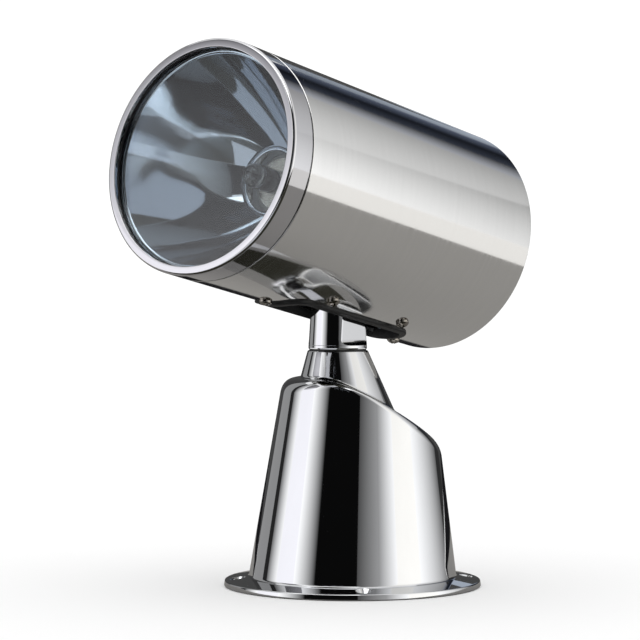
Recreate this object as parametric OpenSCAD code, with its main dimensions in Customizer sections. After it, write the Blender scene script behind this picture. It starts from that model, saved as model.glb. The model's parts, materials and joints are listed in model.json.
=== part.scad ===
// Marine searchlight with an electric pan and tilt drive. A polished cast pedestal carries a
// turning post, and a stainless lamp barrel tilts on a pin through the top of that post.
// Millimetres, +Z up. The origin is the centre of the flange's underside, and -X is the
// pedestal's bow side, where its shoulder is high.

/* [Deck flange] */
// Width of the flange outside the pedestal's wall
flange_w = 15; // [13:0.5:25]
// Thickness of the flange
flange_t = 4; // [3:0.5:6]
// Distance of the deck bolts from the pedestal's wall
bolt_out = 6.5; // [5.5:0.25:8]
// Number of deck bolts
bolt_count = 4; // [3:1:8]
// Diameter of a deck bolt hole
bolt_hole_d = 6.5; // [4.5:0.5:7]
// Width of the countersink of a deck bolt
bolt_sink_d = 10.5; // [8:0.5:12]
// Width of the gasket ring in the flange's underside
gasket_w = 3; // [2:0.5:3.5]
// Thickness of the gasket ring
gasket_t = 1.5; // [1:0.25:2]

/* [Pedestal] */
// Radius of the pedestal's wall at the flange
base_r = 65; // [63:0.5:66]
// Lean of the bow side, in degrees
bow_lean = 9.8; // [8:0.2:11]
// Lean of the aft side, in degrees
aft_lean = 7; // [6:0.2:9]
// Wall thickness of the pedestal
base_wall = 4; // [3:0.5:5]
// Thickness of the shoulder
roof_t = 5; // [4:0.5:7]
// Height of the shoulder's crest
crest_z = 129.5; // [126:0.5:133]
// Distance of the crest ahead of the pedestal's centre
crest_ahead = 24; // [20:1:27]
// Radius of the bend behind the crest
crest_bend_r = 45; // [38:1:55]
// Slope of the shoulder behind that bend, in degrees
shoulder_slope = 24; // [20:0.5:26]
// Radius of the long curve down to the aft side
shoulder_r = 252; // [220:5:320]
// Length of the rim's rounding at the bow
rim_bow = 9.5; // [6:0.5:11]
// Length of the rim's rounding at the sides
rim_side = 2.4; // [1.5:0.1:4]
// Length of the rim's rounding at the aft end
rim_aft = 7.6; // [5:0.2:10]
// Fillet where the wall meets the flange
foot_fillet = 1.6; // [0.8:0.2:2.4]

/* [Neck and pan bearing] */
// Distance of the pan axis ahead of the pedestal's centre
pan_ahead = 9.24; // [8:0.1:11]
// Height of the neck's top face
neck_z = 146.4; // [143:0.2:150]
// Radius of the neck's top
neck_r = 18.7; // [17.8:0.1:20]
// Lean of the neck's bow side, in degrees
neck_bow_lean = 15; // [11:0.5:17]
// Lean of the neck's aft side, in degrees
neck_aft_lean = 24; // [20:0.5:26]
// Diameter of the pan shaft
pan_shaft_d = 18; // [15:0.5:19]
// Wall of the pan bushes
bush_wall = 3; // [2:0.25:3.5]
// Thickness of the seal under the turning post
seal_t = 0.7; // [0.5:0.1:1]

/* [Pan drive] */
// Height of the chassis plate's underside
chassis_z = 34; // [32:0.5:37]
// Thickness of the chassis plate
chassis_t = 4; // [3:0.5:5]
// Gap between the chassis plate and the pedestal's wall
chassis_gap = 3; // [2:0.25:5]
// Module of the pan and tilt gears
gear_module = 1; // [0.9:0.05:1]
// Teeth of the pan gear, and of a full ring of the tilt sector
gear_teeth = 60; // [56:1:62]
// Teeth of the pan and tilt pinions
pinion_teeth = 15; // [15:2:17]
// Width of the pan gear's teeth
pan_gear_w = 7; // [5:0.5:8]
// Diameter of the pan gearbox
pan_box_d = 32; // [28:0.5:33]
// Height of the pan gearbox
pan_box_h = 16; // [13:0.5:18]
// Diameter of the pan motor
pan_motor_d = 28; // [24:0.5:30]
// Height of the pan motor
pan_motor_h = 26; // [22:0.5:30]

/* [Turning post] */
// Radius of the post at its foot
post_foot_r = 18.2; // [17.6:0.1:18.6]
// Radius of the post inside the lamp
post_r = 17; // [15.5:0.1:17.2]
// Height of the round foot under the flats
post_foot_h = 2.6; // [2:0.1:4]
// Height over which the post tapers
post_taper_h = 18; // [12:0.5:20]
// Thickness of the post across its flats
post_flat = 25.6; // [23:0.2:26]
// Fillet at the foot of the flats
flat_fillet = 2.6; // [1.5:0.1:3.5]
// Height of the tilt axis above the neck
post_rise = 90.6; // [88:0.2:96]
// Pan angle of the lamp from the bow, in degrees
pan_rest = 46.33; // [-170:0.01:170]
// Tilt of the lamp above level, in degrees
tilt_rest = 11.85; // [-15:0.05:25]

/* [Lamp barrel] */
// Outside radius of the barrel
barrel_r = 71.5; // [71:0.1:74]
// Wall of the barrel
barrel_wall = 1.5; // [1:0.1:1.8]
// Length of the lamp from its front face to its rear edge
lamp_len = 243; // [236:1:260]
// Distance from the tilt axis to the lamp's front face
lamp_ahead = 134; // [132:0.5:140]
// Width of the front ring's band
bezel_w = 17.2; // [15:0.2:20]
// Width of the front ring's flat face
bezel_face = 5; // [4.5:0.1:5.6]
// Depth of the groove between the front ring and the barrel
groove = 0.8; // [0.4:0.1:1]
// Thickness of the lens
lens_t = 4; // [3:0.5:5]
// Depth of the lens behind the front face
lens_back = 4.5; // [4:0.1:6]
// Focal length of the reflector
focal = 15; // [14:0.25:16.5]
// Radius of the hole for the bulb in the reflector
bulb_hole_r = 19; // [17:0.5:20]
// Diameter of the bulb's glass
bulb_d = 15; // [11:0.5:20]
// Length of the bulb's glass ahead of its cap
bulb_len = 30; // [24:0.5:34]

/* [Slot and tilt frame] */
// Length of the rubber edging around the slot
trim_len = 116.5; // [112:0.5:118]
// Width of the rubber edging
trim_w = 42.6; // [40:0.2:44]
// Corner radius of the rubber edging
trim_corner = 12; // [9:0.5:15]
// Distance of the slot's middle behind the tilt axis
slot_aft = 8.5; // [7:0.1:10]
// Length of the slot in the barrel
slot_len = 108; // [104:0.5:109]
// Width of the slot in the barrel
slot_w = 33; // [31:0.2:34]
// Height of the edging above the barrel
trim_proud = 2.3; // [1.4:0.1:2.6]
// Clearance between the sector's screws and the tilt frame's cheek
cheek_gap = 1.2; // [0.8:0.1:2.4]
// Thickness of the tilt frame's sheet
frame_t = 2.5; // [2:0.1:3]
// Clearance between the tilt frame and the shield that closes the slot from inside
shield_gap = 1.5; // [1:0.1:4]
// Clearance between the shield's edges and the tilt frame's cheeks
shield_side_gap = 0.7; // [0.5:0.1:2]
// Diameter of the tilt pin
tilt_pin_d = 10; // [8:0.5:11]
// Diameter of the tilt gearbox
tilt_box_d = 30; // [26:0.5:32]
// Length of the tilt gearbox
tilt_box_len = 17.5; // [14:0.5:19]
// Diameter of the tilt motor
tilt_motor_d = 27; // [22:0.5:28]
// Clearance between the tilt motor's end and the barrel
tilt_motor_gap = 4.6; // [2:0.2:8]
// Head diameter of the barrel screws
screw_head_d = 8; // [7:0.1:8.6]
// Gap between the rubber edging and the heads of the end screws
end_screw_gap = 2.75; // [1:0.25:6]
// Distance of the side screws from the slot's middle
side_screw_x = 35.5; // [30:0.5:40]
// Angle of the side screws from the barrel's lowest line, in degrees
side_screw_angle = 23; // [22.5:0.1:24]

/* [Hidden] */
$fn = 96;

// Clearances
fit = 0.02;        // between pieces that are pushed together
run = 0.05;        // radial, between a turning shaft and its bore
ease = 0.2;        // between faces that only sit beside each other
past = 1;          // by which a cut runs past the face that it opens

// Fasteners
m3_r = 1.5;
m3_head_r = 2.75;
m3_head_h = 2;
m4_r = 2;
m4_head_r = 3.6;
m4_head_h = 2.4;
boss_wall = 3;
blind = 2;         // metal left over a tapped hole, and thread left free under a screw

// Deck flange
flange_d = 2 * (base_r + flange_w);
bolt_pcd = 2 * (base_r + bolt_out);

// Pedestal: at each height the wall is a circle, and the circles shrink and drift aft
bow_slope = tan(bow_lean);
aft_slope = tan(aft_lean);
wall_slope = (bow_slope + aft_slope) / 2;
wall_drift = (bow_slope - aft_slope) / 2;
skin_steps = 72;
rim_steps = 8;
roof_steps = 3;
rim_blend = 1.4;
crest_x = -crest_ahead;
pan_x = -pan_ahead;
bend_x = crest_x + crest_bend_r * sin(shoulder_slope);
bend_z = crest_z - crest_bend_r * (1 - cos(shoulder_slope));
neck_foot_z = crest_z - 30;
neck_chamfer = 0.7;
hub_r = neck_r - 4;

function wall_r(z) = base_r - wall_slope * (z - flange_t);
function wall_x(z) = wall_drift * (z - flange_t);
function wall_point(a, z) = [wall_x(z) + wall_r(z) * cos(a), wall_r(z) * sin(a), z];

// Height of the shoulder: level to the crest, a tight bend, then a long curve down aft
function long_sine(x) = min(0.95, sin(shoulder_slope) + (x - bend_x) / shoulder_r);
function shoulder_z(x) =
  x < crest_x ? crest_z :
  x < bend_x ? crest_z - crest_bend_r + sqrt(pow(crest_bend_r, 2) - pow(x - crest_x, 2)) :
  bend_z - shoulder_r * (cos(shoulder_slope) - sqrt(1 - pow(long_sine(x), 2)));

// Where the wall at angle a would meet the shoulder in a sharp corner
function corner_z(a, turns = 10, z = crest_z) =
  turns == 0 ? z : corner_z(a, turns - 1, shoulder_z(wall_x(z) + wall_r(z) * cos(a)));
function rim_len(a) = rim_side
  + (rim_bow - rim_side) * pow(max(0, -cos(a)), rim_blend)
  + (rim_aft - rim_side) * pow(max(0, cos(a)), rim_blend);
function toward_hub(p, d) =
  let (h = [pan_x - p.x, -p.y], q = [p.x, p.y] + h * d / norm(h)) [q.x, q.y, shoulder_z(q.x)];
function rim_point(a, t) =
  let (z = corner_z(a), corner = wall_point(a, z), low = wall_point(a, z - rim_len(a)),
       high = toward_hub(corner, rim_len(a)))
  low * pow(1 - t, 2) + corner * 2 * t * (1 - t) + high * pow(t, 2);
function roof_point(a, t) =
  let (p = rim_point(a, 1), x = p.x + (pan_x + hub_r * cos(a) - p.x) * t,
       y = p.y + (hub_r * sin(a) - p.y) * t)
  [x, y, shoulder_z(x)];
function neck_point(a, z, inset = 0) =
  let (drop = neck_z - z, grow = drop * (tan(neck_bow_lean) + tan(neck_aft_lean)) / 2,
       shift = drop * (tan(neck_aft_lean) - tan(neck_bow_lean)) / 2, r = neck_r + grow - inset)
  [pan_x + shift + r * cos(a), r * sin(a), z];
angles = [for (i = [0 : skin_steps - 1]) i * 360 / skin_steps];

// Inside the pedestal
plate_t = 2;
plate_ledge_z = 4.5;
plate_lap = 1.4;
plate_r = base_r - base_wall + plate_lap;
plate_screw_ring = base_r - 8;
plate_boss_r = m3_r + boss_wall;
plate_boss_h = 12;
gasket_r = plate_r + 1.8;
cavity_r = base_r - base_wall;
chassis_top = chassis_z + chassis_t;
chassis_r = cavity_r - wall_slope * chassis_top - wall_drift * (chassis_top - flange_t) - chassis_gap;
lug_ring = chassis_r - 4.5;
lug_r = m4_r + boss_wall + plate_lap;
lug_h = 14;
grommet_inset = 24.4;
grommet_x = grommet_inset - plate_r;
cable_r = 4;
grommet_wall = 2;
grommet_lip = 2.5;
lip_t = 2;
shaft_r = pan_shaft_d / 2;
bush_r = shaft_r + bush_wall;
bush_lip = 3;
bush_lip_t = 2;
lower_bush_up = 6;
lower_bush_top = chassis_top + lower_bush_up;
seal_inset = 0.5;
post_z = neck_z + seal_t + ease;
tilt_z = neck_z + post_rise;

// Gears
pressure_angle = 25;
backlash = 0.25;
tip_height = 0.95;
root_depth = 1.25;
flank_steps = 3;
gear_r = gear_module * gear_teeth / 2;
pinion_r = gear_module * pinion_teeth / 2;
gear_distance = gear_r + pinion_r;
pinion_shaft_r = 3;
shaft_in_box = 8;
box_boss_r = 6;
box_chamfer = 2;
motor_screw_y = 10;
motor_screw_len = 6;
lower_lip_t = 1;
washer_t = 1.8;
pan_gear_top = chassis_z - lower_lip_t - ease - washer_t;
circlip_t = 1.2;
circlip_w = 3;
clip_groove = 0.9;
shaft_stub = 2.8;
clip_mouth = 4;
shaft_end_z = pan_gear_top - pan_gear_w - circlip_t - shaft_stub;
pan_motor_x = pan_x + gear_distance;
wire_r = 5;
wire_outlet_drop = 37;
wire_outlet_z = tilt_z - wire_outlet_drop;

// Tilt parts, from the post's middle outwards
flat_y = post_flat / 2;
sector_w = 5;
sector_screw_head = 1.8;
cheek_y = flat_y + ease + sector_w + sector_screw_head + cheek_gap;
pin_r = tilt_pin_d / 2;
tilt_bush_r = pin_r + 2;
tilt_bush_lip = 3;
tilt_bush_lip_t = 1;
hub_gap = cheek_y - tilt_bush_lip_t - ease;
sector_hub_r = pin_r + 3;
sector_disc_r = pin_r + 10;
sector_rim = 4;
sector_from = -46;
sector_to = 34;
sector_spoke = 14;
sector_screw_r = 11.5;
sector_screw_deep = 7;
clip_t = 1;
clip_w = 2.5;
pin_clip_mouth = 3;
clip_y = cheek_y + frame_t + clip_t;
pin_end = clip_y + 4 * clip_t;
eye_r = tilt_bush_r + 6;
box_pad_r = tilt_box_d / 2 + 1;
shield_t = 1.2;
shield_bow = 48;
shield_aft = 57;

// Lamp: s runs aft from the front face
tube_in = barrel_r - barrel_wall;
lip_r = barrel_r - bezel_face;
sheet_edge = 0.4;
bezel_edge = 1.2;
lip_edge = 0.5;
bezel_bore = lip_r + 0.95;
lip_depth = 2.5;
spigot_len = 10;
spigot_r = tube_in - ease;
stack_r = bezel_bore - ease;
gasket_bead = 0.3;
reflector_s = lens_back + lens_t + ease;
reflector_t = 1;
reflector_r = stack_r - 3.8;
vertex_s = reflector_s + pow(reflector_r, 2) / (4 * focal);
hole_s = vertex_s - pow(bulb_hole_r, 2) / (4 * focal);
focus_s = vertex_s - focal;
collar_len = 12;
dish_steps = 22;
retainer_t = 3;
retainer_w = 2.6;
bulb_r = bulb_d / 2;
bulb_wall = 1;
bulb_ahead = bulb_len * 0.45;
bulb_front_s = focus_s - bulb_ahead;
cap_s = bulb_front_s + bulb_len;
pinch_s = cap_s - 6;
coil_len = 7;
coil_r = 1;
lead_r = 0.5;
cap_r = bulb_r + 1.5;
cap_len = 12;
cap_flange_r = bulb_hole_r - 3;
cap_flange_t = 2;
holder_flange_t = 4;
holder_s = cap_s + cap_flange_t;
collar_end_s = hole_s + collar_len;
clip_wire_r = 0.8;
clip_reach = cap_r + 2;
saddle_r = tube_in - ease;
shield_w = 2 * (cheek_y - shield_side_gap);
shield_edge_r = saddle_r - frame_t - shield_gap;
shield_r = sqrt(pow(shield_edge_r, 2) - pow(shield_w / 2, 2));
motor_end_y = sqrt(pow(tube_in - tilt_motor_gap, 2) - pow(tilt_motor_d / 2, 2));
tilt_motor_len = motor_end_y - cheek_y - frame_t - tilt_box_len;
saddle_half_w = 33;
saddle_end = 5.5;
slot_corner = trim_corner - 2;
end_screw_x = trim_len / 2 + end_screw_gap + screw_head_d / 2;
trim_wall = 1.5;
shank_len = 7;
head_dome = 2.4;
cross_w = 1.1;
cross_l = 4.4;
cross_deep = 1.3;
cover_t = 1.5;
cover_skirt = 5;
cover_dish = 2;
cover_rim_s = lamp_len - sheet_edge;
cover_step_r = tube_in * 0.86;
cover_step_w = 3;

// Places
module on_turret() translate([pan_x, 0, 0]) rotate([0, 0, pan_rest]) children();
module at_tilt() on_turret() translate([0, 0, tilt_z]) children();
module on_lamp() at_tilt() rotate([0, tilt_rest, 0]) children();
module along_lamp() on_lamp() translate([-lamp_ahead, 0, 0]) rotate([0, 90, 0]) children();
module across(y) translate([0, y, 0]) rotate([-90, 0, 0]) children();
// A flat shape drawn in x and z, thickened from y0 to y1
module sheet(y0, y1) translate([0, y1, 0]) rotate([90, 0, 0]) linear_extrude(y1 - y0) children();
module ring(r_out, r_in, h) difference() {
  cylinder(r = r_out, h = h);
  translate([0, 0, -past]) cylinder(r = r_in, h = h + 2 * past);
}
module around(n, r, start = 0)
  for (i = [0 : n - 1]) rotate([0, 0, start + i * 360 / n]) translate([r, 0, 0]) children();
module round_slot(l, w, r) {
  square([l - 2 * r, w], center = true);
  square([l, w - 2 * r], center = true);
  for (x = [-1, 1], y = [-1, 1]) translate([x * (l / 2 - r), y * (w / 2 - r)]) circle(r);
}
// A fan that covers a circle of radius r between two angles
module wedge(r, from, to) {
  steps = 4;
  reach = r * 1.3;
  polygon(concat([[0, 0]],
    [for (i = [0 : steps]) let (a = from + (to - from) * i / steps) reach * [cos(a), sin(a)]]));
}
// A rounded slot's outline, run up through the underside of the lamp
module under_slot(l, w, r)
  translate([slot_aft, 0, -lamp_len]) linear_extrude(lamp_len) round_slot(l, w, r);
// A tube along the lamp's axis, from x on
module lamp_tube(r_out, r_in, x, l) translate([x, 0, 0]) rotate([0, 90, 0]) ring(r_out, r_in, l);

// A closed skin through rings of points, the lowest ring first
module skin(rings) {
  n = len(rings[0]);
  last = len(rings) - 1;
  points = [for (r = rings) each r];
  sides = [for (j = [0 : last - 1], i = [0 : n - 1]) let (k = (i + 1) % n)
    each [[j * n + i, (j + 1) * n + k, j * n + k], [j * n + i, (j + 1) * n + i, (j + 1) * n + k]]];
  floor_face = [for (i = [0 : n - 1]) i];
  top_face = [for (i = [0 : n - 1]) last * n + n - 1 - i];
  polyhedron(points, concat(sides, [floor_face, top_face]));
}

// A pan-head screw with a cross recess. Its head stands up from z 0 and its shank goes down.
module screw(shank_r, shank, head_r, head_h) {
  sphere_r = (pow(head_r, 2) + pow(head_h, 2)) / (2 * head_h);
  translate([0, 0, -shank]) cylinder(r = shank_r, h = shank, $fn = 32);
  difference() {
    intersection() {
      cylinder(r = head_r, h = head_h);
      translate([0, 0, head_h - sphere_r]) sphere(sphere_r);
    }
    for (a = [0, 90]) rotate([0, 0, a]) translate([0, 0, head_h])
      cube([cross_l * head_r / 4, cross_w, 2 * cross_deep], center = true);
  }
}

// Involute gear teeth
function involute(r, rb) = r <= rb ? 0 : tan(acos(rb / r)) * 180 / PI - acos(rb / r);
function tooth_angle(r, rp) = (PI / 2 * gear_module - backlash) / rp * 90 / PI
  + involute(rp, rp * cos(pressure_angle)) - involute(r, rp * cos(pressure_angle));
module gear_shape(teeth) {
  rp = gear_module * teeth / 2;
  low = rp - root_depth * gear_module;
  high = rp + tip_height * gear_module;
  radii = [for (i = [0 : flank_steps]) low + (high - low) * i / flank_steps];
  polygon([for (k = [0 : teeth - 1]) each concat(
    [for (i = [0 : flank_steps]) let (a = k * 360 / teeth - tooth_angle(radii[i], rp))
      radii[i] * [cos(a), sin(a)]],
    [for (i = [flank_steps : -1 : 0]) let (a = k * 360 / teeth + tooth_angle(radii[i], rp))
      radii[i] * [cos(a), sin(a)]])]);
}

// Pedestal
module pedestal_skin() skin(concat(
  [[for (a = angles) wall_point(a, flange_t / 2)]],
  [for (t = [0 : rim_steps]) [for (a = angles) rim_point(a, t / rim_steps)]],
  [for (t = [1 : roof_steps]) [for (a = angles) roof_point(a, t / roof_steps)]],
  [[for (a = angles) let (p = roof_point(a, 1)) [p.x, p.y, neck_foot_z + past]]]));
module neck_skin() skin([
  [for (a = angles) neck_point(a, neck_foot_z)],
  [for (a = angles) neck_point(a, neck_z - neck_chamfer)],
  [for (a = angles) neck_point(a, neck_z, neck_chamfer)]]);
module flange_disc() {
  edge = flange_t / 4;
  rotate_extrude() polygon([[0, 0], [flange_d / 2, 0], [flange_d / 2, flange_t - edge],
    [flange_d / 2 - edge, flange_t], [0, flange_t]]);
  translate([0, 0, flange_t]) rotate_extrude() difference() {
    translate([base_r - 2 * foot_fillet, -past]) square([3 * foot_fillet, foot_fillet + past]);
    translate([base_r + foot_fillet, foot_fillet]) circle(foot_fillet);
  }
}
module cavity() {
  steps = 5;
  far = base_r * 0.85;
  lean = atan(wall_drift);
  top = crest_z + past;
  intersection() {
    translate([-wall_drift * flange_t, 0, -past]) rotate([0, lean, 0])
      cylinder(r1 = cavity_r + wall_slope * past, r2 = cavity_r - wall_slope * top, h = top + past);
    sheet(-base_r, base_r) polygon(concat(
      [[-base_r, -2 * past], [base_r, -2 * past], [base_r, shoulder_z(far) - roof_t]],
      [for (i = [steps : -1 : 0]) let (x = crest_x + (far - crest_x) * i / steps)
        [x, shoulder_z(x) - roof_t]],
      [[-base_r, crest_z - roof_t]]));
  }
}
module base_casting() color([0.78, 0.78, 0.79]) {
  difference() {
    union() {
      flange_disc();
      pedestal_skin();
      neck_skin();
    }
    difference() {
      cavity();
      translate([0, 0, plate_ledge_z]) around(4, plate_screw_ring, 45)
        cylinder(r = plate_boss_r, h = plate_boss_h);
      translate([0, 0, chassis_top]) around(3, lug_ring, 60) {
        cylinder(r = lug_r, h = lug_h);
        translate([0, -lug_r, 0]) cube([base_r - lug_ring, 2 * lug_r, lug_h]);
      }
    }
    translate([0, 0, -past]) cylinder(r = plate_r + ease, h = plate_ledge_z + past);
    translate([0, 0, -past]) ring(gasket_r + gasket_w + ease, gasket_r - ease, gasket_t + past);
    around(bolt_count, bolt_pcd / 2) {
      translate([0, 0, -past]) cylinder(d = bolt_hole_d, h = flange_t + 2 * past);
      translate([0, 0, flange_t - (bolt_sink_d - bolt_hole_d) / 2])
        cylinder(d1 = bolt_hole_d, d2 = bolt_sink_d, h = (bolt_sink_d - bolt_hole_d) / 2);
    }
    around(4, plate_screw_ring, 45) cylinder(r = m3_r + fit, h = plate_ledge_z + plate_boss_h - blind);
    around(3, lug_ring, 60) cylinder(r = m4_r + fit, h = chassis_top + lug_h - blind);
    translate([pan_x, 0, neck_foot_z]) cylinder(r = bush_r + fit, h = neck_z);
    translate([pan_x, 0, neck_z - bush_lip_t]) cylinder(r = bush_r + bush_lip + fit, h = neck_z);
  }
}
module deck_gasket() color([0.08, 0.08, 0.08]) ring(gasket_r + gasket_w, gasket_r, gasket_t);
module base_plate() color([0.6, 0.61, 0.62]) difference() {
  translate([0, 0, plate_ledge_z - plate_t]) cylinder(r = plate_r, h = plate_t);
  around(4, plate_screw_ring, 45) cylinder(r = m3_r + ease, h = plate_ledge_z + past);
  translate([grommet_x, 0, 0]) cylinder(r = cable_r + grommet_wall, h = plate_ledge_z + past);
}
module base_plate_screws() color([0.75, 0.75, 0.76])
  translate([0, 0, plate_ledge_z - plate_t]) around(4, plate_screw_ring, 45) mirror([0, 0, 1])
    screw(m3_r, plate_t + plate_boss_h - 2 * blind, m3_head_r, m3_head_h);
module cable_grommet() color([0.1, 0.1, 0.1])
  translate([grommet_x, 0, plate_ledge_z - plate_t - lip_t]) rotate_extrude() polygon([
    [cable_r, 0], [cable_r + grommet_wall + grommet_lip, 0],
    [cable_r + grommet_wall + grommet_lip, lip_t], [cable_r + grommet_wall - fit, lip_t],
    [cable_r + grommet_wall - fit, lip_t + plate_t],
    [cable_r + grommet_wall + grommet_lip, lip_t + plate_t],
    [cable_r + grommet_wall + grommet_lip / 2, 2 * lip_t + plate_t],
    [cable_r, 2 * lip_t + plate_t]]);

// Pan drive
module chassis_plate() color([0.7, 0.71, 0.72]) difference() {
  translate([0, 0, chassis_z]) cylinder(r = chassis_r, h = chassis_t);
  around(3, lug_ring, 60) cylinder(r = m4_r + ease, h = 2 * chassis_z);
  translate([pan_x, 0, 0]) cylinder(r = bush_r + fit, h = 2 * chassis_z);
  translate([pan_motor_x, 0, 0]) {
    cylinder(r = box_boss_r + fit, h = 2 * chassis_z);
    for (y = [-1, 1]) translate([0, y * motor_screw_y, 0])
      cylinder(r = m3_r + ease, h = 2 * chassis_z);
  }
}
module chassis_screws() color([0.75, 0.75, 0.76])
  translate([0, 0, chassis_z]) around(3, lug_ring, 60) mirror([0, 0, 1])
    screw(m4_r, chassis_t + lug_h - 2 * blind, m4_head_r, m4_head_h);
module pan_upper_bush() color([0.72, 0.53, 0.28]) translate([pan_x, 0, 0]) {
  foot = shoulder_z(pan_x) - roof_t;
  difference() {
    union() {
      translate([0, 0, foot]) cylinder(r = bush_r, h = neck_z - foot);
      translate([0, 0, neck_z - bush_lip_t]) cylinder(r = bush_r + bush_lip, h = bush_lip_t);
    }
    translate([0, 0, foot - past]) cylinder(r = shaft_r + run, h = neck_z);
  }
}
module pan_lower_bush() color([0.72, 0.53, 0.28]) translate([pan_x, 0, 0]) difference() {
  translate([0, 0, chassis_z - lower_lip_t]) {
    cylinder(r = bush_r, h = lower_bush_top - chassis_z + lower_lip_t);
    cylinder(r = bush_r + bush_lip, h = lower_lip_t);
  }
  cylinder(r = shaft_r + run, h = lower_bush_top + past);
}
module neck_seal() color([0.06, 0.06, 0.06]) translate([pan_x, 0, neck_z])
  ring(post_foot_r - seal_inset, bush_r + past, seal_t);
module gearbox(r, h, boss) difference() {
  union() {
    cylinder(r = r, h = h - box_chamfer);
    translate([0, 0, h - box_chamfer]) cylinder(r1 = r, r2 = r - box_chamfer, h = box_chamfer);
    translate([0, 0, -boss]) cylinder(r = box_boss_r, h = boss + past);
  }
  translate([0, 0, -boss - past])
    cylinder(r = pinion_shaft_r + run, h = boss + shaft_in_box + 2 * past);
  for (y = [-1, 1]) translate([0, y * motor_screw_y, -past])
    cylinder(r = m3_r + fit, h = motor_screw_len);
}
// A motor can with two rolled seams, an end cap and two terminal tabs
module motor(r, h) {
  tab = [2, 0.8, 3];
  seam_w = 1;
  seam_deep = 0.4;
  can_h = h - tab.z;
  difference() {
    cylinder(r = r, h = can_h);
    for (z = [can_h / 3, can_h * 3 / 4]) translate([0, 0, z]) ring(r + past, r - seam_deep, seam_w);
  }
  translate([0, 0, can_h]) cylinder(r = r * 0.7, h = tab.z / 2);
  for (y = [-1, 1]) translate([-tab.x / 2, y * r * 0.45 - tab.y / 2, can_h]) cube(tab);
}
module pan_gearbox() color([0.45, 0.46, 0.48])
  translate([pan_motor_x, 0, chassis_top]) gearbox(pan_box_d / 2, pan_box_h, chassis_t);
module pan_motor() color([0.6, 0.6, 0.62])
  translate([pan_motor_x, 0, chassis_top + pan_box_h]) motor(pan_motor_d / 2, pan_motor_h);
module pan_motor_screws() color([0.75, 0.75, 0.76])
  for (y = [-1, 1]) translate([pan_motor_x, y * motor_screw_y, chassis_z]) mirror([0, 0, 1])
    screw(m3_r, chassis_t + motor_screw_len - blind, m3_head_r, m3_head_h);
// One gap between its teeth always faces the gear
module pinion(w, shaft) {
  linear_extrude(w) rotate(180 + 180 / pinion_teeth) gear_shape(pinion_teeth);
  cylinder(r = pinion_shaft_r, h = w + shaft);
}
module pan_pinion() color([0.8, 0.7, 0.45])
  translate([pan_motor_x, 0, pan_gear_top - pan_gear_w])
    pinion(pan_gear_w, chassis_top + shaft_in_box - pan_gear_top);

// Turning post
module turret_post() color([0.78, 0.78, 0.79]) on_turret() difference() {
  flats_z = post_z + post_foot_h;
  union() {
    translate([0, 0, shaft_end_z]) cylinder(r = shaft_r, h = post_z - shaft_end_z + past);
    translate([0, 0, post_z]) cylinder(r = post_foot_r, h = post_foot_h);
    intersection() {
      union() {
        translate([0, 0, flats_z - past]) cylinder(r = post_foot_r, h = past);
        translate([0, 0, flats_z]) cylinder(r1 = post_foot_r, r2 = post_r, h = post_taper_h);
        translate([0, 0, flats_z + post_taper_h])
          cylinder(r = post_r, h = tilt_z - flats_z - post_taper_h);
        translate([0, 0, tilt_z]) across(-flat_y) cylinder(r = post_r, h = post_flat);
      }
      rotate([0, 0, 90]) sheet(-2 * post_r, 2 * post_r) difference() {
        translate([-2 * post_r, flats_z - past]) square([4 * post_r, tilt_z]);
        for (side = [-1, 1]) {
          translate([side * (flat_y + flat_fillet), flats_z + flat_fillet]) circle(flat_fillet);
          translate([side * (flat_y + post_r), flats_z + flat_fillet + tilt_z / 2])
            square([2 * post_r, tilt_z], center = true);
          translate([side * (flat_y + flat_fillet + post_r), flats_z + tilt_z / 2])
            square([2 * post_r, tilt_z], center = true);
        }
      }
    }
  }
  translate([0, 0, shaft_end_z - past]) cylinder(r = wire_r, h = wire_outlet_z - shaft_end_z);
  translate([0, 0, wire_outlet_z - wire_r]) rotate([0, 90, 0]) cylinder(r = wire_r, h = 2 * post_r);
  translate([0, 0, tilt_z]) across(-post_r) cylinder(r = pin_r + fit, h = 2 * post_r);
  translate([0, 0, pan_gear_top - pan_gear_w - circlip_t - fit])
    ring(shaft_r + past, shaft_r - clip_groove, circlip_t + fit);
  translate([0, 0, tilt_z]) sector_screw_places(flat_y) mirror([0, 0, 1])
    cylinder(r = m3_r + fit, h = sector_screw_deep + blind);
}
module sector_screw_places(y)
  for (a = [70, 250]) translate([sector_screw_r * cos(a), y, sector_screw_r * sin(a)])
    rotate([-90, 0, 0]) children();
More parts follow.
